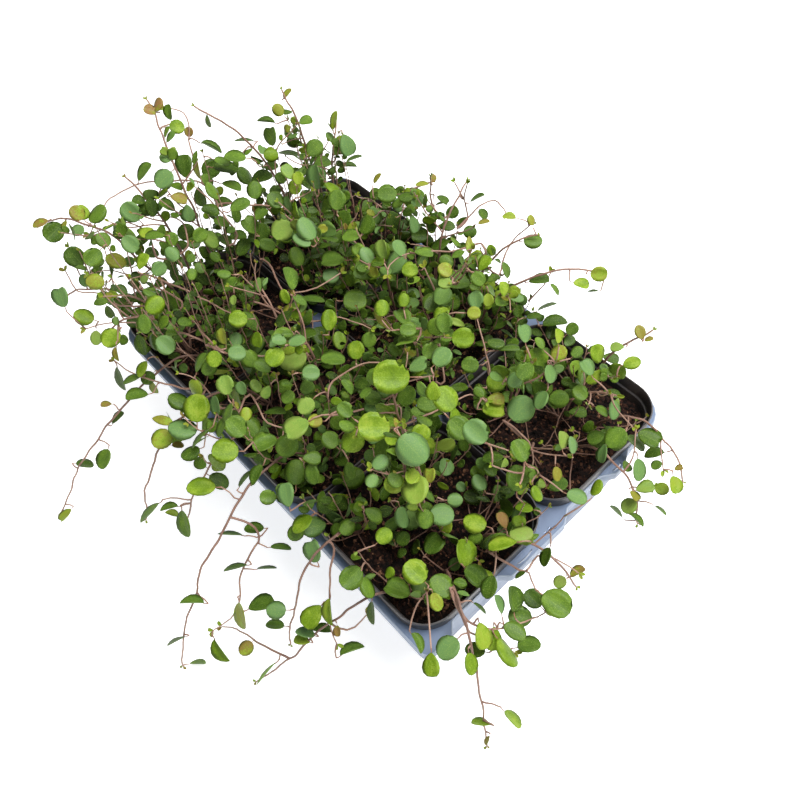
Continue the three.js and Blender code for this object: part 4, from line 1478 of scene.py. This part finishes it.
def leader_path(number, vine):
    """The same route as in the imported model."""
    start = MIDDLES[number] + Vector((*vine.root, SOIL_TOP))
    end = Vector(vine.tip)
    rising = start.lerp(end, 0.12)
    rising.z = vine.arch
    falling = start.lerp(end, 0.68)
    falling.z = vine.fall
    length = (end - start).length + 2 * max(0.0, vine.arch - max(start.z, end.z))
    count = max(8, int(length / STEP))
    path = [start - UP * ROOT_DEPTH]
    path += [bezier(start, rising, falling, end, i / count) for i in range(count + 1)]
    return path


def in_pot(point, margin):
    """Whether a point is over the soil of a pot and clear of the pot's wall."""
    half = (POT_TOP / 2) - POT_WALL - margin
    round_corner = POT_TOP_CORNER - POT_WALL
    for middle in MIDDLES.values():
        x, y = abs(point.x - middle.x), abs(point.y - middle.y)
        if x < half and y < half:
            over_x, over_y = x - (half - round_corner), y - (half - round_corner)
            return min(over_x, over_y) < 0 or math.hypot(over_x, over_y) < round_corner
    return False


def blocked(point, margin=0.8):
    """Whether a point is in the floor, the soil, a pot or the tray."""
    if point.z < margin:
        return True
    if point.z > RIM_TOP + margin:
        return False
    if in_pot(point, margin):
        return point.z < SOIL_TOP + 0.8 + margin
    edge = 1.0 + margin
    return abs(point.x) < HALF_LENGTH + FLANGE + edge and abs(point.y) < HALF_WIDTH + SIDE_LIP + edge


def blocked_path(path, rooted, margin=0.2):
    """Whether a path is blocked anywhere after its first rooted points."""
    return any(blocked(point, margin) for point in path[rooted:])


def sight(x, y):
    """The way from the camera through a spot of the photo, one millimetre deep."""
    return FORWARD + RIGHT * ((x - PHOTO_MIDDLE) / FOCAL) + DOWN * ((y - PHOTO_MIDDLE) / FOCAL)


def in_photo(point):
    """Where a point shows in the photo, and how deep it lies from the camera."""
    away = point - CAMERA_AT
    depth = away.dot(FORWARD)
    x = PHOTO_MIDDLE + FOCAL * away.dot(RIGHT) / depth
    y = PHOTO_MIDDLE + FOCAL * away.dot(DOWN) / depth
    return x, y, depth


def in_rounds(rounds, x, y, reach=0.0):
    """Whether a spot, with a reach round it, meets one of the round areas."""
    return any(math.hypot(x - at_x, y - at_y) < radius + reach for at_x, at_y, radius in rounds)


def overgrown(x, y):
    """Whether a spot of the photo lies inside the overgrown part."""
    inside = False
    for (x_a, y_a), (x_b, y_b) in zip(OVERGROWN, OVERGROWN[1:] + OVERGROWN[:1]):
        if (y_a > y) != (y_b > y) and x < x_a + (x_b - x_a) * (y - y_a) / (y_b - y_a):
            inside = not inside
    return inside


def strays(path):
    """Whether a shoot leaves the overgrown part."""
    return not all(overgrown(*in_photo(point)[:2]) for point in path[2::2])


class Plan:
    """One vine's stems and leaves before they become a mesh."""

    NUMBER = ("FLOAT", "value", 0.0)
    MARKS = {
        "leaf": ("BOOLEAN", "value", False),
        "turn": ("FLOAT_VECTOR", "vector", (0.0, 0.0, 0.0)),
        "size": NUMBER,
        "kind": ("INT", "value", 0),
        "tint": NUMBER,
        "cool": NUMBER,
        "thickness": NUMBER,
        "age": NUMBER,
    }

    def __init__(self):
        self.points = []
        self.edges = []
        self.marks = []

    def stem(self, path, thick, thin, old, young):
        """A shoot along a path, thicker and older at its start."""
        first = len(self.points)
        last = len(path) - 1
        for i, point in enumerate(path):
            share = i / last
            self.points.append(point)
            self.marks.append({
                "thickness": (thick + (thin - thick) * share) * MM,
                "age": old + (young - old) * share,
            })
            if i:
                self.edges.append((first + i - 1, first + i))

    def leaf(self, at, turn, size, kind, tint, cool):
        self.points.append(at)
        self.marks.append({
            "leaf": True,
            "turn": turn.to_euler(),
            "size": size * MM,
            "kind": LEAF_NAMES.index(kind),
            "tint": tint,
            "cool": cool,
        })

    def bud(self, path, size, dice):
        """A pair of leaves that have just opened at the end of a shoot."""
        at, heading = spot_on(path, 1.0)
        across = heading.cross(LIGHT_FROM).normalized()
        for side in (1, -1):
            out = (heading + across * side * dice.uniform(0.35, 0.8)).normalized()
            facing = LIGHT_FROM - out * LIGHT_FROM.dot(out)
            tint = dice.uniform(0.8, 0.98)
            turn = leaf_turn(out, facing.normalized())
            self.leaf(at, turn, size * dice.uniform(0.8, 1.2), "young", tint, 0.0)

    def mesh(self):
        mesh = bpy.data.meshes.new("vine_plan")
        mesh.from_pydata([point * MM for point in self.points], self.edges, [])
        for name, (kind, key, default) in self.MARKS.items():
            layer = mesh.attributes.new(name, kind, "POINT")
            for spot, marks in zip(layer.data, self.marks):
                setattr(spot, key, marks.get(name, default))
        return mesh


class Thicket:
    """Everything that has grown so far, so that new leaves keep clear of it."""

    CELL = 12.0

    def __init__(self):
        self.discs = {}
        self.stems = {}
        self.carriers = []
        self.seen = []

    def cell(self, point):
        return tuple(int(math.floor(value / self.CELL)) for value in point)

    def near(self, table, point):
        x, y, z = self.cell(point)
        for i in (x - 1, x, x + 1):
            for j in (y - 1, y, y + 1):
                for k in (z - 1, z, z + 1):
                    yield from table.get((i, j, k), ())

    def add_stem(self, path, plan):
        self.carriers += [(point, plan) for point in path[3:]]
        for before, here in zip(path, path[1:]):
            self.stems.setdefault(self.cell(here), []).append(here)
            middle = (before + here) / 2
            self.stems.setdefault(self.cell(middle), []).append(middle)

    def add_disc(self, middle, normal, radius):
        self.discs.setdefault(self.cell(middle), []).append((middle, normal, radius))

    def add_seen(self, middle, radius):
        x, y, depth = in_photo(middle)
        self.seen.append((x, y, radius * FOCAL / depth, depth))

    def hides(self, middle, radius):
        """Whether a leaf there would hide one of the seen leaves or close an open view."""
        x, y, depth = in_photo(middle)
        reach = radius * FOCAL / depth
        if not overgrown(x, y) or in_rounds(OPEN_VIEWS, x, y, 0.5 * reach):
            return True
        for seen_x, seen_y, seen_reach, seen_depth in self.seen:
            if depth < seen_depth + 3 and math.hypot(x - seen_x, y - seen_y) < 0.8 * (reach + seen_reach):
                return True
        return False

    def free(self, middle, normal, radius):
        """Whether a round blade there cuts through no leaf, stem, pot, tray, soil or floor."""
        side = normal.orthogonal().normalized()
        other = normal.cross(side)
        for i in range(8):
            angle = math.pi * i / 4
            spot = middle + (side * math.cos(angle) + other * math.sin(angle)) * radius
            if blocked(spot, 0.5):
                return False
        if blocked(middle, 0.6):
            return False
        for spot in self.near(self.stems, middle):
            away = spot - middle
            height = away.dot(normal)
            if abs(height) < 0.8 and (away - normal * height).length < 0.8 * radius:
                return False
        for disc in self.near(self.discs, middle):
            if discs_cross(disc, (middle, normal, radius)):
                return False
        return True


def discs_cross(first, second):
    """Whether two round blades cut through each other or lie closer than a leaf is thick."""
    middle_a, normal_a, radius_a = first
    middle_b, normal_b, radius_b = second
    apart = middle_b - middle_a
    distance = apart.length
    if distance > radius_a + radius_b:
        return False
    if distance < 0.35 * (radius_a + radius_b):
        return True
    line = normal_a.cross(normal_b)
    if line.length < 0.12:
        return abs(apart.dot(normal_a)) < 0.9
    line.normalize()
    to_line = normal_a.cross(line)
    reach = apart.dot(normal_b) / to_line.dot(normal_b)
    spot = middle_a + to_line * reach
    if abs(reach) > radius_a:
        return False
    half_a = math.sqrt(radius_a**2 - reach**2)
    back = spot - middle_b
    at_b = -back.dot(line)
    miss = (back + line * at_b).length
    if miss > radius_b:
        return False
    half_b = math.sqrt(radius_b**2 - miss**2)
    return abs(at_b) < half_a + half_b


def leaf_turn(heading, normal):
    """The rotation of a leaf whose blade runs along heading and faces normal."""
    along = heading.normalized()
    facing = (normal - along * normal.dot(along)).normalized()
    across = facing.cross(along)
    return Matrix((along, across, facing)).transposed()


def spot_on(path, share):
    """A point of a path and the direction there, by its share of the path."""
    place = share * (len(path) - 1)
    i = min(int(place), len(path) - 2)
    heading = (path[i + 1] - path[i]).normalized()
    return path[i].lerp(path[i + 1], place - i), heading


def length_of(path):
    return sum((b - a).length for a, b in zip(path, path[1:]))


def place_leaf(plan, thicket, dice, at, heading, side, size, kinds, tint, cool, lean=0.5):
    """Puts one leaf at a node if it finds room there. side is 1 or -1."""
    across = sideways(heading, LIGHT_FROM)
    for attempt in range(PLACE_TRIES):
        loose = lean + 0.09 * attempt
        out = across * side + heading * 0.55 + UP * 0.25 + random_vector(dice) * 0.38
        out.normalize()
        facing = LIGHT_FROM + random_vector(dice) * loose
        facing -= out * facing.dot(out)
        if facing.length < 0.2:
            continue
        facing.normalize()
        kind = dice.choice(kinds)
        scale = size * (1 - 0.04 * attempt)
        middle = at + out * scale * (LEAF_KINDS[kind].stalk + 0.5)
        radius = scale * 0.25 * (1 + LEAF_KINDS[kind].width)
        if not thicket.hides(middle, radius) and thicket.free(middle, facing, radius):
            thicket.add_disc(middle, facing, radius)
            plan.leaf(at, leaf_turn(out, facing), scale, kind, tint, cool)
            return True
    return False


def leaf_colour(dice, share, shade):
    """Tint and coolness of a leaf at a share of its shoot. shade paints shade into it: more dark tones, a
    lower tint and less blue.
    """
    weights = [2 - shade, 3, 1.5 + 2.5 * shade, 2, 0.5, 0.6]
    tint, cool, _ = LEAF_TONES[dice.choices(GROWN_TONES, weights)[0]]
    tint += dice.gauss(0, 0.07) + 0.12 * share**3 - 0.13 * shade
    return min(0.92, max(0.02, tint)), cool * dice.uniform(0.6, 1.0) * (1 - 0.35 * shade)


def dress_shoot(plan, thicket, dice, path, bare, gap, cluster, size, shade):
    """Leaves along a shoot from its bare base to its tip, smaller towards the tip, and a young tip."""
    length = length_of(path)
    travelled = bare * length + dice.uniform(0, gap)
    side = dice.choice((-1, 1))
    while travelled < length - STEP:
        share = travelled / length
        count = int(cluster) + (1 if dice.random() < cluster % 1 else 0)
        for _ in range(count):
            at, heading = spot_on(path, min(0.99, share + dice.uniform(-0.8, 0.8) / length))
            tint, cool = leaf_colour(dice, share, shade)
            scale = min(LARGEST_LEAF, max(SMALLEST_LEAF, size * dice.lognormvariate(0, LEAF_SPREAD)))
            scale *= 1 - 0.4 * share**4
            place_leaf(plan, thicket, dice, at, heading, side, scale, BLADES, tint, cool)
            side = -side
        travelled += gap * dice.uniform(0.6, 1.5) * (1 - 0.3 * share)
    at, heading = spot_on(path, 1.0)
    opened = 0
    for turn in (1, -1):
        tint = dice.uniform(0.8, 1.0)
        scale = size * dice.uniform(0.3, 0.48)
        opened += place_leaf(plan, thicket, dice, at, heading * 3, turn * 0.3, scale, ["young"], tint, 0.0)
    if not opened:
        plan.bud(path, 0.24 * size, dice)


def smoothed(spots):
    """A path with even steps along a smooth curve through the spots."""
    ends = [spots[0]] + spots + [spots[-1]]
    path = []
    for before, start, end, after in zip(ends, ends[1:], ends[2:], ends[3:]):
        rising = start + (end - before) / 6
        falling = end - (after - start) / 6
        count = max(2, int((end - start).length / STEP))
        path += [bezier(start, rising, falling, end, i / count) for i in range(count)]
    return path + [spots[-1]]


def carrier_tree(thicket):
    """For finding the stem that is nearest to a spot."""
    tree = KDTree(len(thicket.carriers))
    for index, (point, _) in enumerate(thicket.carriers):
        tree.insert(point, index)
    tree.balance()
    return tree


def grow_seen_shoots(thicket):
    """The shoots that stand out in the photo, each from the stem that is nearest to its first spot."""
    tree = carrier_tree(thicket)
    for order, (low, high, route) in enumerate(SEEN_SHOOTS):
        spots = []
        for i, (x, y) in enumerate(route):
            line = sight(x, y)
            height = low + (high - low) * i / (len(route) - 1)
            spots.append(CAMERA_AT + line * ((height - CAMERA_AT.z) / line.z))
        start, index, _ = tree.find(spots[0])
        path = smoothed([start] + spots)
        path = path[:2] + wander(path, order + 60, 1.2, 10.0)[2:]
        if not blocked_path(path, 2):
            plan = thicket.carriers[index][1]
            plan.stem(path, *SEEN_SHOOT)
            plan.bud(path, SEEN_BUD, random.Random(SEED + order))
            thicket.add_stem(path, plan)


def kind_for(dice, share):
    """A kind of leaf that can be seen with a width of that share of its length, and its own width."""
    if share > 0.8:
        kind = dice.choice(BROAD)
    elif share > 0.55:
        kind = dice.choice(HALF_BROAD)
    else:
        kind = dice.choice(NARROW)
    return kind, max(share, LEAF_KINDS[kind].width)


def sight_depths(line):
    """How deep a leaf may lie along a line of sight, from the soil, rims or floor up to the top."""
    def depth_at(height):
        return (height - CAMERA_AT.z) / line.z

    deepest = depth_at(SOIL_TOP + 4)
    if blocked(CAMERA_AT + line * deepest, 2):
        deepest = depth_at(RIM_TOP + 6)
    elif not in_pot(CAMERA_AT + line * deepest, 3):
        deepest = depth_at(5)
    steps = int((deepest - depth_at(THICKET_TOP)) / SEEN_STEP)
    return [deepest - SEEN_STEP * step for step in range(steps + 1)]


def twig_to(base, out, carriers, index):
    """The path of a twig from a stem's point to the base of a leaf that points out from there."""
    spot = carriers[index][0]
    away = (base - spot).length
    bend = spot.lerp(base, 0.55) + (UP * 1.5 - out) * min(2.0, away / 6)
    after = carriers[min(index + 1, len(carriers) - 1)][0] - spot
    along = after.normalized() if after.length < 2 * STEP else Vector()
    rising = spot.lerp(bend, 0.4) + along * min(3.5, 0.3 * away)
    count = max(3, int(away / STEP))
    return [bezier(spot, rising, bend, base, i / count) for i in range(count + 1)]


def grow_seen_leaf(thicket, tree, dice, tone, x, y, length, hundredths=FLAT, angle=None):
    """One leaf as the photo shows it, as deep along its line of sight as brings its stalk nearest to a
    stem, with a twig from there. Its midrib lies at any angle where none is given."""
    share = hundredths / 100
    kind, width = kind_for(dice, share)
    line = sight(x, y)
    toward = -line.normalized()
    reach = 0.5 + LEAF_KINDS[kind].stalk
    tilt = math.acos(min(1.0, share / width))
    angles = [45 * k for k in range(8)] if angle is None else [angle, angle + 180]
    found = []
    for depth in sight_depths(line):
        middle = CAMERA_AT + line * depth
        if blocked(middle, 1.5):
            continue
        size = length * depth / FOCAL
        for turn in angles:
            turned = math.radians(turn)
            out = RIGHT * math.cos(turned) + DOWN * math.sin(turned)
            out = (out - toward * out.dot(toward)).normalized()
            base = middle - out * size * reach
            spot, index, gap = tree.find(base)
            if gap < TWIG_REACH:
                cost = gap - BEHIND_GAIN * (base - spot).dot(out) - LEAF_TONES[tone].rise * middle.z
                found.append((cost, index, middle, size, out))
    found.sort(key=lambda entry: entry[0])
    for _, index, middle, size, out in found[:SEEN_TRIES]:
        leanings = [Matrix.Rotation(sign * tilt, 3, out) @ toward for sign in (1, -1)]
        facing = max(leanings, key=lambda leaning: leaning.z) + random_vector(dice) * 0.07
        facing = (facing - out * facing.dot(out)).normalized()
        radius = size * 0.25 * (1 + width)
        if not thicket.free(middle, facing, radius):
            continue
        base = middle - out * size * reach
        thicket.add_disc(middle, facing, radius)
        thicket.add_seen(middle, radius)
        tint = min(1.0, max(0.0, LEAF_TONES[tone].tint + dice.gauss(0, 0.03)))
        spot, plan = thicket.carriers[index]
        plan.leaf(base, leaf_turn(out, facing), size, kind, tint, LEAF_TONES[tone].cool)
        if (base - spot).length > 1:
            plan.stem(twig_to(base, out, thicket.carriers, index), *SEEN_TWIG)
        return


def grow_seen_leaves(thicket):
    """The leaves that the photo shows best, before any other."""
    tree = carrier_tree(thicket)
    dice = random.Random(SEED * 3)
    for tone, leaves in SEEN_LEAVES.items():
        for seen in leaves:
            grow_seen_leaf(thicket, tree, dice, tone, *seen)


def side_shoot(path, dice, share, length):
    """A shoot that leaves another at a share of it and turns up to the light."""
    at, heading = spot_on(path, share)
    across = sideways(heading, UP)
    for _ in range(SIDE_SHOOT_TRIES):
        side = dice.choice((-1, 1))
        out = (heading * dice.uniform(0.2, 0.9) + across * side * dice.uniform(0.5, 1.1)).normalized()
        out.z += dice.uniform(0.0, 0.5)
        out.normalize()
        found = [at]
        wanted = length * dice.uniform(0.6, 1.3)
        offset = Vector((dice.uniform(0, 90), dice.uniform(0, 90), dice.uniform(0, 90)))
        for _ in range(max(4, int(wanted / STEP))):
            drift = noise.noise_vector(found[-1] / SIDE_SHOOT_BEND + offset) * 0.3
            out = (out + UP * 0.09 + drift).normalized()
            found.append(found[-1] + out * STEP)
        if not blocked_path(found, 2, 0.8) and not strays(found):
            return found
    return None


def basal_shoot(root, target, dice):
    """A shoot that creeps from a vine's root over the soil and stands up at its target."""
    flat = Vector((target.x - root.x, target.y - root.y, 0))
    low = root + flat * 0.45 + UP * dice.uniform(2.5, 6)
    bend = root + flat * dice.uniform(0.8, 1.05) + UP * (target.z - root.z) * dice.uniform(0.3, 0.5)
    count = max(6, int((flat.length + target.z - root.z) / STEP))
    path = [bezier(root, low, bend, target, i / count) for i in range(count + 1)]
    return wander(path, dice.uniform(1, 50), 2.0, 20.0)


def undergrowth_targets(number, dice):
    """Where the tips of a pot's lower shoots stand, spread evenly but for the bare soil."""
    _, gap, (lowest, highest) = UNDERGROWTH[number]
    middle = MIDDLES[number]
    half = PITCH / 2 + 1
    found = []
    for _ in range(UNDERGROWTH_TRIES):
        x, y = middle.x + dice.uniform(-half, half), middle.y + dice.uniform(-half, half)
        spot = Vector((x, y, 0))
        if in_rounds(BARE_SOIL, x, y):
            continue
        if any(math.hypot(x - other.x, y - other.y) < gap for other in found):
            continue
        spot.z = SOIL_TOP + lowest + (highest - lowest) * dice.random() ** 1.5
        if not in_pot(spot, 2.0):
            spot.z = max(spot.z, RIM_TOP + 8)
        found.append(spot)
    return found


def creeper(root, middle, dice):
    """A bare stem that runs over the soil of its pot."""
    at = Vector((*root.to_2d(), SOIL_TOP + 2))
    goal_x, goal_y = (dice.uniform(-CREEPER_REACH, CREEPER_REACH) for _ in range(2))
    goal = middle + Vector((goal_x, goal_y, SOIL_TOP + dice.uniform(3, 14)))
    heading = dice.uniform(0, 2 * math.pi)
    path = [root, at]
    for _ in range(CREEPER_STEPS):
        away = goal - at
        if away.length < 5:
            break
        heading += dice.gauss(0, 0.35)
        drift = Vector((math.cos(heading), math.sin(heading), dice.uniform(-0.2, 0.4)))
        at = at + (away.normalized() * 0.7 + drift * 0.5).normalized() * STEP
        at.z = max(at.z, SOIL_TOP + 2.6)
        path.append(at)
    return path


def plan_leaders(thicket, dressing):
    """The vines' leaders and their side shoots. Each shoot's dressing is kept until all stems stand."""
    plans = {}
    for order, (name, vine) in enumerate(VINES.items()):
        size, gap, cluster, bare, sides, reach = HABITS[vine.habit]
        dice = random.Random(SEED + order)
        plan = Plan()
        plans[name] = plan
        path = wander(leader_path(int(name[0]), vine), order + 1)
        plan.stem(path, *LEADER)
        thicket.add_stem(path, plan)
        # The last number of each dressing is how much painted shade darkens its leaves
        dressing.append((0, plan, dice, path, bare, gap, cluster, size, 0.1))
        for k in range(sides):
            share = bare + 0.08 + (0.85 - bare) * (k + dice.uniform(0.1, 0.9)) / sides
            shoot = side_shoot(path, dice, share, reach * (1.15 - 0.5 * share))
            if shoot:
                plan.stem(shoot, *SIDE_SHOOT)
                thicket.add_stem(shoot, plan)
                dressing.append((1, plan, dice, shoot, 0.15, gap * 0.75, 1.2, size * 0.88, 0.2))
    return plans


def plan_undergrowth(number, plans, thicket, dressing):
    """The lower shoots of a pot, each from the vine whose root is nearest, and its creepers."""
    dice = random.Random(SEED * 7 + number)
    size = UNDERGROWTH[number][0]
    roots = {}
    for name, vine in VINES.items():
        if int(name[0]) == number:
            roots[name] = MIDDLES[number] + Vector((*vine.root, SOIL_TOP - 0.5))
    for target in undergrowth_targets(number, dice):
        name = min(roots, key=lambda n: (roots[n] - target).to_2d().length)
        path = basal_shoot(roots[name], target, dice)
        if blocked_path(path, 3) or strays(path):
            continue
        plans[name].stem(path, *LOWER_SHOOT)
        thicket.add_stem(path, plans[name])
        bare, gap = dice.uniform(0.2, 0.5), dice.uniform(5, 8)
        # Lower shoots get a strong painted shade, so their leaves come out darker and less blue
        dressing.append((2, plans[name], dice, path, bare, gap, 1.1, size, 1.5))
    for name, root in roots.items():
        path = creeper(root, MIDDLES[number], dice)
        if not blocked_path(path, 3):
            plans[name].stem(path, *CREEPER)
            plans[name].bud(path, CREEPER_BUD, dice)


def plan_vines():
    """All stems first, then the leaves that the photo shows best, and then the others between them."""
    noise.seed_set(BEND_SEED)
    thicket = Thicket()
    dressing = []
    plans = plan_leaders(thicket, dressing)
    for number in POTS:
        plan_undergrowth(number, plans, thicket, dressing)
    grow_seen_shoots(thicket)
    grow_seen_leaves(thicket)
    dressing.sort(key=lambda entry: entry[0])
    for _, plan, *habit in dressing:
        dress_shoot(plan, thicket, *habit)
    return plans


def make_vines():
    leaves = bpy.data.collections.new("leaf_shapes")
    for name in LEAF_NAMES:
        leaves.objects.link(leaf_shape(name))
    tree = grow_vine_tree()
    values = {
        "Leaves": leaves,
        "Stem Sides": STEM_SIDES,
        "Leaf Finish": LEAF_FINISH,
        "Stem Finish": STEM_FINISH,
    }
    for name, plan in plan_vines().items():
        mesh = grown(plan.mesh(), tree, values, f"wire_vine_{name}")
        for extra in ("leaf", "turn", "size", "kind", "thickness"):
            layer = mesh.attributes.get(extra)
            if layer:
                mesh.attributes.remove(layer)
        piece(f"wire_vine_{name}", mesh, f"vine_{name}")
    for shape in list(leaves.objects):
        bpy.data.objects.remove(shape)
    bpy.data.collections.remove(leaves)


# Scene


# The studio's lights: where each stands and how wide it is in metres, and its power in watts
LIGHTS = {
    "key": ((0.3, 0.3, 1.1), 0.7, 18),
    "fill": ((0.9, -0.7, 0.8), 0.9, 3),
    "back": ((-0.2, 0.9, 0.8), 0.8, 3),
}
WORLD_STRENGTH = 0.28
WHITE = (1, 1, 1, 1)
FLOOR_HALF = 3000
FLOOR_HEIGHT = -0.3
FLOOR_LOOKS = {
    "Base Color": (0.86, 0.86, 0.86, 1),
    "Roughness": 0.7,
    "Emission Color": WHITE,
    "Emission Strength": 0.65,
}


def set_camera():
    data = bpy.data.cameras.new("camera")
    data.lens = LENS
    data.sensor_width = SENSOR
    data.clip_start = 0.01
    camera = add_to_scene("camera", data)
    turn = Matrix((RIGHT, -DOWN, -FORWARD)).transposed()
    camera.matrix_world = Matrix.Translation(CAMERA_AT * MM) @ turn.to_4x4()
    bpy.context.scene.camera = camera


def soft_light(name, at, size, energy):
    """A round lamp that looks at the origin."""
    data = bpy.data.lights.new(name, "AREA")
    data.shape = "DISK"
    data.size = size
    data.energy = energy
    place = Vector(at)
    turn = place.to_track_quat("Z", "Y").to_matrix().to_4x4()
    add_to_scene(name, data).matrix_world = Matrix.Translation(place) @ turn


def set_studio():
    world = bpy.data.worlds.new("studio")
    world.use_nodes = True
    background = world.node_tree.nodes["Background"]
    background.inputs["Color"].default_value = WHITE
    background.inputs["Strength"].default_value = WORLD_STRENGTH
    bpy.context.scene.world = world
    for name, lamp in LIGHTS.items():
        soft_light(name, *lamp)

    mesh = bpy.data.meshes.new("studio_floor")
    corners = [(-1, -1), (1, -1), (1, 1), (-1, 1)]
    spots = [Vector((x * FLOOR_HALF, y * FLOOR_HALF, FLOOR_HEIGHT)) * MM for x, y in corners]
    mesh.from_pydata(spots, [], [(0, 1, 2, 3)])
    mesh.materials.append(new_finish("pale_floor", FLOOR_LOOKS)[0])
    add_to_scene("studio_floor", mesh)

    bpy.context.scene.view_settings.view_transform = "Standard"
    bpy.context.scene.view_settings.look = "None"


set_camera()
set_studio()
make_tray()
for pot_number in POTS:
    make_pot(pot_number)
strewn_soil = grow_soil_tree()
peat_crumb, peat_fibre = crumb_shape(), fibre_shape()
for pot_number in POTS:
    make_soil(pot_number, strewn_soil, peat_crumb, peat_fibre)
bpy.data.objects.remove(peat_crumb)
bpy.data.objects.remove(peat_fibre)
make_vines()

bpy.context.view_layer.update()
